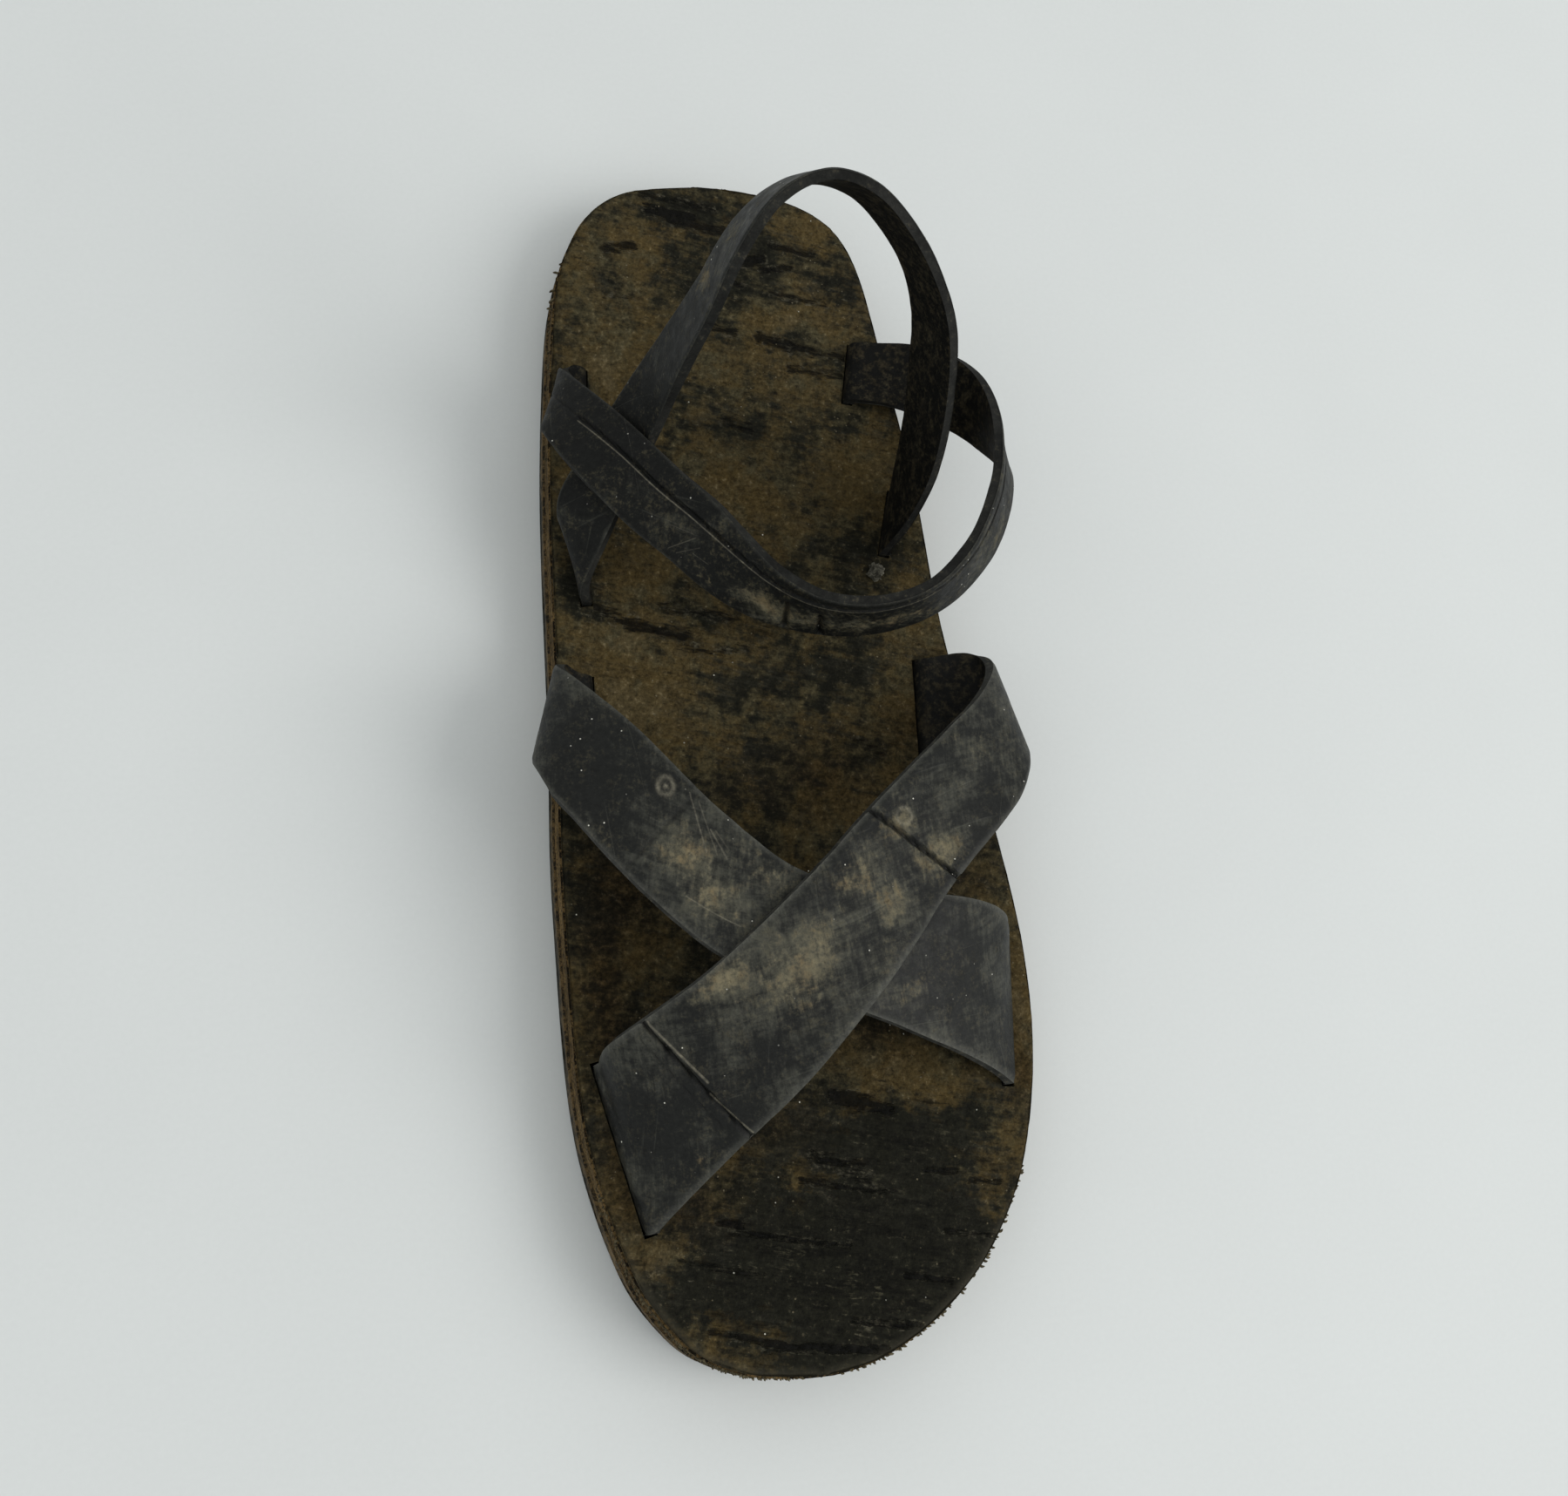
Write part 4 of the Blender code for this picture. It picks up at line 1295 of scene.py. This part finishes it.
def finish_piece(piece, slot, materials, *nodes, angle=35.0):
    """Gives a piece its materials and smooth shading and hands it to the frame."""
    while len(piece.data.materials) < len(materials):
        piece.data.materials.append(None)
    for index, material in enumerate(materials):
        piece.data.materials[index] = material
    select_only(piece)
    bpy.ops.object.shade_smooth_by_angle(angle=radians(angle))
    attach(piece, "root")
    if nodes:
        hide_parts(*nodes)


class SANDAL_OT_liner(bpy.types.Operator):
    """Model the sole's top layer, the tire's inner liner, with its scars and dust"""

    bl_idname = "sandal.liner"
    bl_label = "Inner Liner"

    def execute(self, context):
        sole = context.scene.sandal_sole
        bands = context.scene.sandal_bands
        low = sole.tread + sole.plies
        high = low + sole.liner
        liner = add_slab("inner_liner", sole, low, high, 0.0)
        edit_mode()
        pick("faces", lambda face: face.normal.z > 0.9)
        bpy.ops.mesh.subdivide(number_cuts=1)
        object_mode()
        self.wear(liner, sole, high)
        trim_wall(liner, sole)
        lift_to_spring(liner, sole)
        cut_slots(liner, sole, bands, LINER_GRIP)
        finish_piece(liner, "sole_rubber", [liner_finish(sole)], "sole")
        return {"FINISHED"}

    def wear(self, liner, sole, top):
        """Rounds the rim, presses hollows and scars in, and stores where scars, dust, bare black rubber and
        painted shade lie.
        """
        places = points_of(liner)
        gap, _ = rim_gap(places[:, :2], sole)
        flat = places[:, 2] > top - 0.01 * MM
        here = places[:, :2] / MM
        scar = np.zeros(len(places))
        deep = np.zeros(len(places))
        ragged = np.array([noise.noise(Vector(place) / (1.1 * MM)) for place in places])
        for mark in SCARS:
            start = np.array((mark.x0, mark.y0))
            end = np.array((mark.x1, mark.y1))
            mask = segment_mask(here, start, end, mark.width * 2.1)
            scar = np.maximum(scar, mask * (0.45 + 0.55 * mark.depth))
            deep = np.maximum(deep, mask * mark.depth * np.clip(0.5 + ragged, 0.0, 1.0))
        toe = np.clip((-104.0 - here[:, 1]) / 10.0, 0.0, 1.0)
        rim = np.clip(1.0 - gap / RIM_PALE, 0.0, 1.0) * toe
        hollow = spread(here, SOLE_HOLLOWS)
        waves = np.array([noise.fractal(Vector(place) / (9.0 * MM), 0.6, 2.0, 3) for place in places])
        rounding = np.clip(1.0 - gap / RIM_ROUNDING, 0.0, 1.0) ** 2
        sink = deep * 0.40 + hollow * 0.5 + np.clip(0.18 + waves * 0.22, 0.0, 1.0) + rounding * 0.55
        push(liner, np.where(flat, sink, 0.0), -1.0 * MM, "Z")
        dust = spread(here, SOLE_DUST)
        soot = spread(here, SOLE_SOOT)
        shade = spread(here, SOLE_PAINTED_SHADE)
        hold(liner, scar=np.where(flat, scar, 0.0), dust=dust, soot=soot, rim=rim, shade=shade)


class SANDAL_OT_casing(bpy.types.Operator):
    """Model the sole's cord plies and its tread"""

    bl_idname = "sandal.casing"
    bl_label = "Cord Plies and Tread"

    def execute(self, context):
        sole = context.scene.sandal_sole
        bands = context.scene.sandal_bands
        plies = add_slab("cord_plies", sole, sole.tread, sole.tread + sole.plies, PLY_STAND)
        places = points_of(plies)
        _, along = rim_gap(places[:, :2], sole)
        wall = np.stack([along, places[:, 2], np.zeros(len(places))], axis=1)
        layer = plies.data.attributes.new("wall", "FLOAT_VECTOR", "POINT")
        layer.data.foreach_set("vector", wall.astype(np.float32).ravel())
        trim_wall(plies, sole)
        lift_to_spring(plies, sole)
        cut_slots(plies, sole, bands)
        finish_piece(plies, "sole_rubber", [plies_finish(sole)], "sole")

        tread = add_slab("tread", sole, 0.0, sole.tread, TREAD_STAND)
        apply_modifier(
            tread, "BEVEL", width=TREAD_BEVEL, segments=3, limit_method="ANGLE", angle_limit=radians(60.0)
        )
        trim_wall(tread, sole)
        lift_to_spring(tread, sole)
        cut_slots(tread, sole, bands, grooves=True)
        finish_piece(tread, "sole_rubber", [tread_finish(sole)], "sole")
        return {"FINISHED"}


class SANDAL_OT_bands(bpy.types.Operator):
    """Model the four rubber bands, drawn out line by line from slot to slot"""

    bl_idname = "sandal.bands"
    bl_label = "Rubber Bands"

    def execute(self, context):
        sole = context.scene.sandal_sole
        bands = context.scene.sandal_bands
        front_edge = edge_finish(bands, "front_cut_edge", FRONT_LOOK.edge)
        rear_edge = edge_finish(bands, "rear_cut_edge", REAR_LOOK.edge)
        for band in BANDS:
            materials = [band_finish(bands, band), front_edge if band.front else rear_edge]
            piece = self.strip(band, sole, bands)
            for material in materials:
                piece.data.materials.append(material)
            self.thicken(piece, bands)
            self.mark(piece, band, bands)
            node = "front_straps" if band.front else "rear_straps"
            finish_piece(piece, "band_rubber", materials, node, angle=40.0)
        return {"FINISHED"}

    def strip(self, band, sole, bands):
        """Extrudes an edge from cross line to cross line, then divides and smooths the strip."""
        lines = band_lines(band, sole, bands)
        clear_selection()
        bpy.ops.mesh.primitive_plane_add(size=1.0)
        piece = named(band.name)
        edit_mode()
        pick("verts", lambda vert: vert.co.y > 0.0)
        bpy.ops.mesh.delete(type="VERT")
        object_mode()
        edit_mode()
        self.move_end(0, lines[0][0] - Vector((-0.5, -0.5, 0.0)))
        self.move_end(1, lines[0][1] - Vector((0.5, -0.5, 0.0)))
        last = lines[0]
        for number, line in enumerate(lines[1:], start=1):
            pick("verts", lambda vert: vert.index in (2 * number - 2, 2 * number - 1))
            shift = line[0] - last[0]
            bpy.ops.mesh.extrude_region_move(TRANSFORM_OT_translate={"value": shift})
            self.move_end(2 * number + 1, line[1] - last[1] - shift)
            last = line
        object_mode()
        self.lay_out(piece, lines, band_width(band, bands))
        edit_mode()
        pick("edges", lambda edge: abs(edge.verts[0].index - edge.verts[1].index) == 1
             and min(edge.verts[0].index, edge.verts[1].index) % 2 == 0)
        bpy.ops.mesh.subdivide(number_cuts=BAND_COLUMNS - 1)
        object_mode()
        apply_modifier(
            piece, "SUBSURF", levels=BAND_LEVELS, render_levels=BAND_LEVELS,
            boundary_smooth="PRESERVE_CORNERS",
        )
        return piece

    def move_end(self, index, shift):
        pick("verts", lambda vert: vert.index == index)
        bpy.ops.transform.translate(value=shift)

    def lay_out(self, piece, lines, width):
        """Unwraps the strip: U is the distance along it and V the distance across, both in metres."""
        middles = [(line[0] + line[1]) / 2.0 for line in lines]
        walked = [0.0]
        for here, there in zip(middles, middles[1:]):
            walked.append(walked[-1] + (there - here).length)
        if not piece.data.uv_layers:
            piece.data.uv_layers.new(name="UVMap")
        layer = piece.data.uv_layers[0].data
        for loop in piece.data.loops:
            line, side = divmod(loop.vertex_index, 2)
            layer[loop.index].uv = (walked[line], side * width)

    def thicken(self, piece, bands):
        """Turns the strip's face outwards and gives it its wall, with cut edges of their own material."""
        places = points_of(piece)
        center = places.mean(axis=0)
        center[2] = sole_height(bpy.context.scene.sandal_sole)
        outward = 0.0
        for face in piece.data.polygons:
            outward += face.normal.dot(face.center - Vector(center)) * face.area
        if outward < 0.0:
            edit_mode()
            bpy.ops.mesh.select_all(action="SELECT")
            bpy.ops.mesh.flip_normals()
            object_mode()
        piece.vertex_groups.new(name="inside")
        apply_modifier(
            piece, "SOLIDIFY", thickness=bands.thickness, offset=0.0, material_offset_rim=1,
            shell_vertex_group="inside",
        )

    def mark(self, piece, band, bands):
        """Presses grooves in, rounds the long sides, and stores where each mark and the inner face are."""
        look = FRONT_LOOK if band.front else REAR_LOOK
        mesh = piece.data
        layout = np.zeros((len(mesh.vertices), 2))
        corners = np.empty(len(mesh.loops), dtype=np.int64)
        mesh.loops.foreach_get("vertex_index", corners)
        flat = np.empty(len(mesh.loops) * 2)
        mesh.uv_layers[0].data.foreach_get("uv", flat)
        layout[corners] = flat.reshape(-1, 2)
        layout /= MM
        wide = band_width(band, bands) / MM
        inside = np.zeros(len(mesh.vertices))
        group = piece.vertex_groups["inside"]
        for vert in mesh.vertices:
            if any(entry.group == group.index and entry.weight > 0.5 for entry in vert.groups):
                inside[vert.index] = 1.0
        piece.vertex_groups.remove(group)
        outer = inside < 0.5
        groove = np.zeros(len(layout))
        depth = np.zeros(len(layout))
        for cut in BAND_CUTS[band.name]:
            ends = np.array(((cut.u0, cut.v0 * wide), (cut.u1, cut.v1 * wide)))
            mask = segment_mask(layout, ends[0], ends[1], cut.width)
            groove = np.maximum(groove, mask * min(1.0, cut.depth * 1.2))
            depth = np.maximum(depth, mask * cut.depth)
        scratch = np.zeros(len(layout))
        for ring in BAND_RINGS[band.name]:
            gap = np.linalg.norm(layout - np.array((ring.u, ring.v * wide)), axis=1) - ring.radius
            scratch = np.maximum(scratch, 0.9 * np.exp(-((gap / ring.width) ** 2)))
        dust = spread(layout, BAND_SMEARS[band.name], (1.0, wide))
        # Painted shade on the band, kept in the same attribute as the sole's bare black rubber
        soot = spread(layout, BAND_PAINTED_SHADE[band.name], (1.0, wide))
        waves = np.array([
            noise.fractal(Vector((u / 11.0, v / 11.0, len(band.rows))), 0.7, 2.0, 3) for u, v in layout
        ])
        side = np.minimum(layout[:, 1], wide - layout[:, 1])
        pared = np.clip(1.0 - side / look.pare, 0.0, 1.0)
        sink = np.where(outer, depth + pared * 0.55, pared * 0.2) + np.clip(0.10 + waves * 0.10, 0.0, 0.3)
        push(piece, sink, -1.0 * MM)
        groove, scratch, pared = (np.where(outer, mark, 0.0) for mark in (groove, scratch, pared))
        dust = np.where(outer, dust, dust * 0.4)
        hold(piece, groove=groove, scratch=scratch, dust=dust, soot=soot, pared=pared, inside=inside)


class SANDAL_OT_frays(bpy.types.Operator):
    """Model the frayed cord ends that stand out of the plies at the toe and heel"""

    bl_idname = "sandal.frays"
    bl_label = "Frayed Cord Ends"

    def execute(self, context):
        sole = context.scene.sandal_sole
        pattern = self.cord_end()
        chance = Random(FRAY_SEED)
        inner, outer = outline_sides(sole, PLY_STAND)
        copies = []
        for fray in FRAYS:
            side = inner if fray.side < 0 else outer
            for number in range(fray.count):
                walk = fray.start + (fray.end - fray.start) * (number + chance.random()) / fray.count
                place, run = self.along(side, walk * MM)
                out = Vector((run.y, -run.x)) * fray.side
                height = sole.tread + sole.plies * (1.0 - chance.random() ** 1.7 * 0.8) - 0.2 * MM
                copy = pattern.copy()
                copy.data = pattern.data.copy()
                context.scene.collection.objects.link(copy)
                tilt = Vector((out.x, out.y, chance.uniform(-0.6, 0.5)))
                tilt += run.to_3d() * chance.uniform(-0.9, 0.9)
                reach = fray.reach * chance.uniform(0.5, 1.2)
                size = Matrix.Diagonal((1.0, 1.0, reach, 1.0))
                turn = tilt.to_track_quat("Z", "Y").to_matrix().to_4x4()
                start = Vector((place.x, place.y, height + underside(place.y, sole)))
                root = Matrix.Translation(start - tilt.normalized() * FRAY_ROOT)
                copy.matrix_world = root @ turn @ size
                copies.append(copy)
        bpy.data.objects.remove(pattern, do_unlink=True)
        clear_selection()
        for copy in copies:
            copy.select_set(True)
        context.view_layer.objects.active = copies[0]
        bpy.ops.object.join()
        frays = named("frayed_cord_ends")
        bpy.ops.object.transform_apply(location=True, rotation=True, scale=True)
        finish_piece(frays, "sole_rubber", [fray_finish()], angle=60.0)
        return {"FINISHED"}

    def cord_end(self):
        """A short blunt tuft that hooks over a little."""
        clear_selection()
        bpy.ops.mesh.primitive_circle_add(vertices=7, radius=FRAY_RADIUS, fill_type="NGON")
        cord = named("cord_end")
        edit_mode()
        bpy.ops.mesh.select_all(action="SELECT")
        for slide, rise, thin in FRAY_SECTIONS:
            step = (slide * MM, 0.0, rise * MM)
            bpy.ops.mesh.extrude_region_move(TRANSFORM_OT_translate={"value": step})
            bpy.ops.transform.resize(value=(thin, thin, 1.0))
        face_out()
        object_mode()
        return cord

    def along(self, side, walk):
        """The place and heading on a side of the outline at a distance from the toe's tip."""
        for start, end in zip(side, side[1:]):
            length = (end - start).length
            if walk <= length:
                return start.lerp(end, walk / length), (end - start).normalized()
            walk -= length
        return side[-1], (side[-1] - side[-2]).normalized()


class SANDAL_OT_mud(bpy.types.Operator):
    """Model the crumb of dried mud at the foot of the heel band"""

    bl_idname = "sandal.mud"
    bl_label = "Dried Mud"

    def execute(self, context):
        sole = context.scene.sandal_sole
        clear_selection()
        x, y, above = MUD_PLACE
        middle = (x, y, sole_height(sole) + above)
        bpy.ops.mesh.primitive_ico_sphere_add(subdivisions=4, radius=MUD_RADIUS, location=middle)
        mud = named("dried_mud")
        mud.scale = (0.95, 1.1, 0.62)
        bpy.ops.object.transform_apply(location=True, rotation=True, scale=True)
        lumps = [noise.fractal(Vector(place) / (1.9 * MM), 0.5, 2.0, 4) for place in points_of(mud)]
        push(mud, np.clip(0.5 + np.array(lumps) * 0.8, 0.0, 1.0), -1.5 * MM)
        finish_piece(mud, "sole_rubber", [mud_finish()], angle=50.0)
        return {"FINISHED"}


class SANDAL_OT_stage(bpy.types.Operator):
    """Set up the pale floor, the soft light and the camera"""

    bl_idname = "sandal.stage"
    bl_label = "Stage"

    def execute(self, context):
        stage = context.scene.sandal_stage
        clear_selection()
        bpy.ops.mesh.primitive_plane_add(size=FLOOR_SIZE, location=(0.0, 0.0, 0.0))
        floor = named("floor")
        floor.data.materials.append(floor_finish(tuple(stage.floor)))
        world = context.scene.world or bpy.data.worlds.new("soft_light")
        context.scene.world = world
        world.use_nodes = True
        sky = world.node_tree.nodes["Background"]
        sky.inputs["Color"].default_value = (0.97, 1.0, 0.995, 1.0)
        sky.inputs["Strength"].default_value = stage.sky
        self.lamp("key_light", LAMP_PLACE, LAMP_SIZE, stage.key, (1.0, 0.99, 0.97))
        self.camera(context, stage)
        context.scene.view_settings.view_transform = "Standard"
        return {"FINISHED"}

    def lamp(self, name, place, size, power, color):
        bpy.ops.object.light_add(type="AREA", location=place)
        lamp = bpy.context.object
        lamp.name = name
        lamp.data.size = size
        lamp.data.energy = power
        lamp.data.color = color
        lamp.rotation_euler = (-Vector(place)).to_track_quat("-Z", "Y").to_euler()

    def camera(self, context, stage):
        """The photo's point of view, turned from its own direction to face the sandal."""
        place = Vector(CAMERA_PLACE) * MM
        heading = Matrix.Rotation(radians(CAMERA_TURN), 3, "Z")
        steep = radians(CAMERA_STEEPNESS)
        ahead = heading @ Vector((0.0, cos(steep), -sin(steep)))
        above = heading @ Vector((0.0, sin(steep), cos(steep)))
        side = ahead.cross(above)
        basis = Matrix((side, above, -ahead)).transposed()
        aim = (Vector(CAMERA_AIM) * MM - place).normalized()
        basis = ahead.rotation_difference(aim).to_matrix() @ basis
        bpy.ops.object.camera_add()
        camera = context.object
        camera.name = "photo_view"
        camera.matrix_world = Matrix.Translation(place) @ basis.to_4x4()
        camera.data.sensor_fit = "HORIZONTAL"
        camera.data.sensor_width = 36.0
        camera.data.lens = stage.lens
        camera.data.clip_start = 0.01
        context.scene.camera = camera


class SANDAL_PT_panel(bpy.types.Panel):
    """Sidebar panel with the sandal's pieces and settings"""

    bl_idname = "SANDAL_PT_panel"
    bl_label = "Tire Sandal"
    bl_space_type = "VIEW_3D"
    bl_region_type = "UI"
    bl_category = "Sandal"

    def draw(self, context):
        layout = self.layout
        for operator in OPERATORS:
            layout.operator(operator.bl_idname)
        for settings in (context.scene.sandal_sole, context.scene.sandal_bands, context.scene.sandal_stage):
            box = layout.box()
            for key in settings.__annotations__:
                box.prop(settings, key)


OPERATORS = (
    SANDAL_OT_stage,
    SANDAL_OT_casing,
    SANDAL_OT_liner,
    SANDAL_OT_bands,
    SANDAL_OT_frays,
    SANDAL_OT_mud,
)
SETTINGS = (SandalSoleSettings, SandalBandSettings, SandalStageSettings)
CLASSES = SETTINGS + OPERATORS + (SANDAL_PT_panel,)


def register():
    for item in CLASSES:
        bpy.utils.register_class(item)
    bpy.types.Scene.sandal_sole = PointerProperty(type=SandalSoleSettings)
    bpy.types.Scene.sandal_bands = PointerProperty(type=SandalBandSettings)
    bpy.types.Scene.sandal_stage = PointerProperty(type=SandalStageSettings)


def unregister():
    del bpy.types.Scene.sandal_stage
    del bpy.types.Scene.sandal_bands
    del bpy.types.Scene.sandal_sole
    for item in reversed(CLASSES):
        bpy.utils.unregister_class(item)


def main():
    register()
    bpy.ops.sandal.stage()
    bpy.ops.sandal.casing()
    bpy.ops.sandal.liner()
    bpy.ops.sandal.bands()
    bpy.ops.sandal.frays()
    bpy.ops.sandal.mud()


if __name__ == "__main__":
    main()
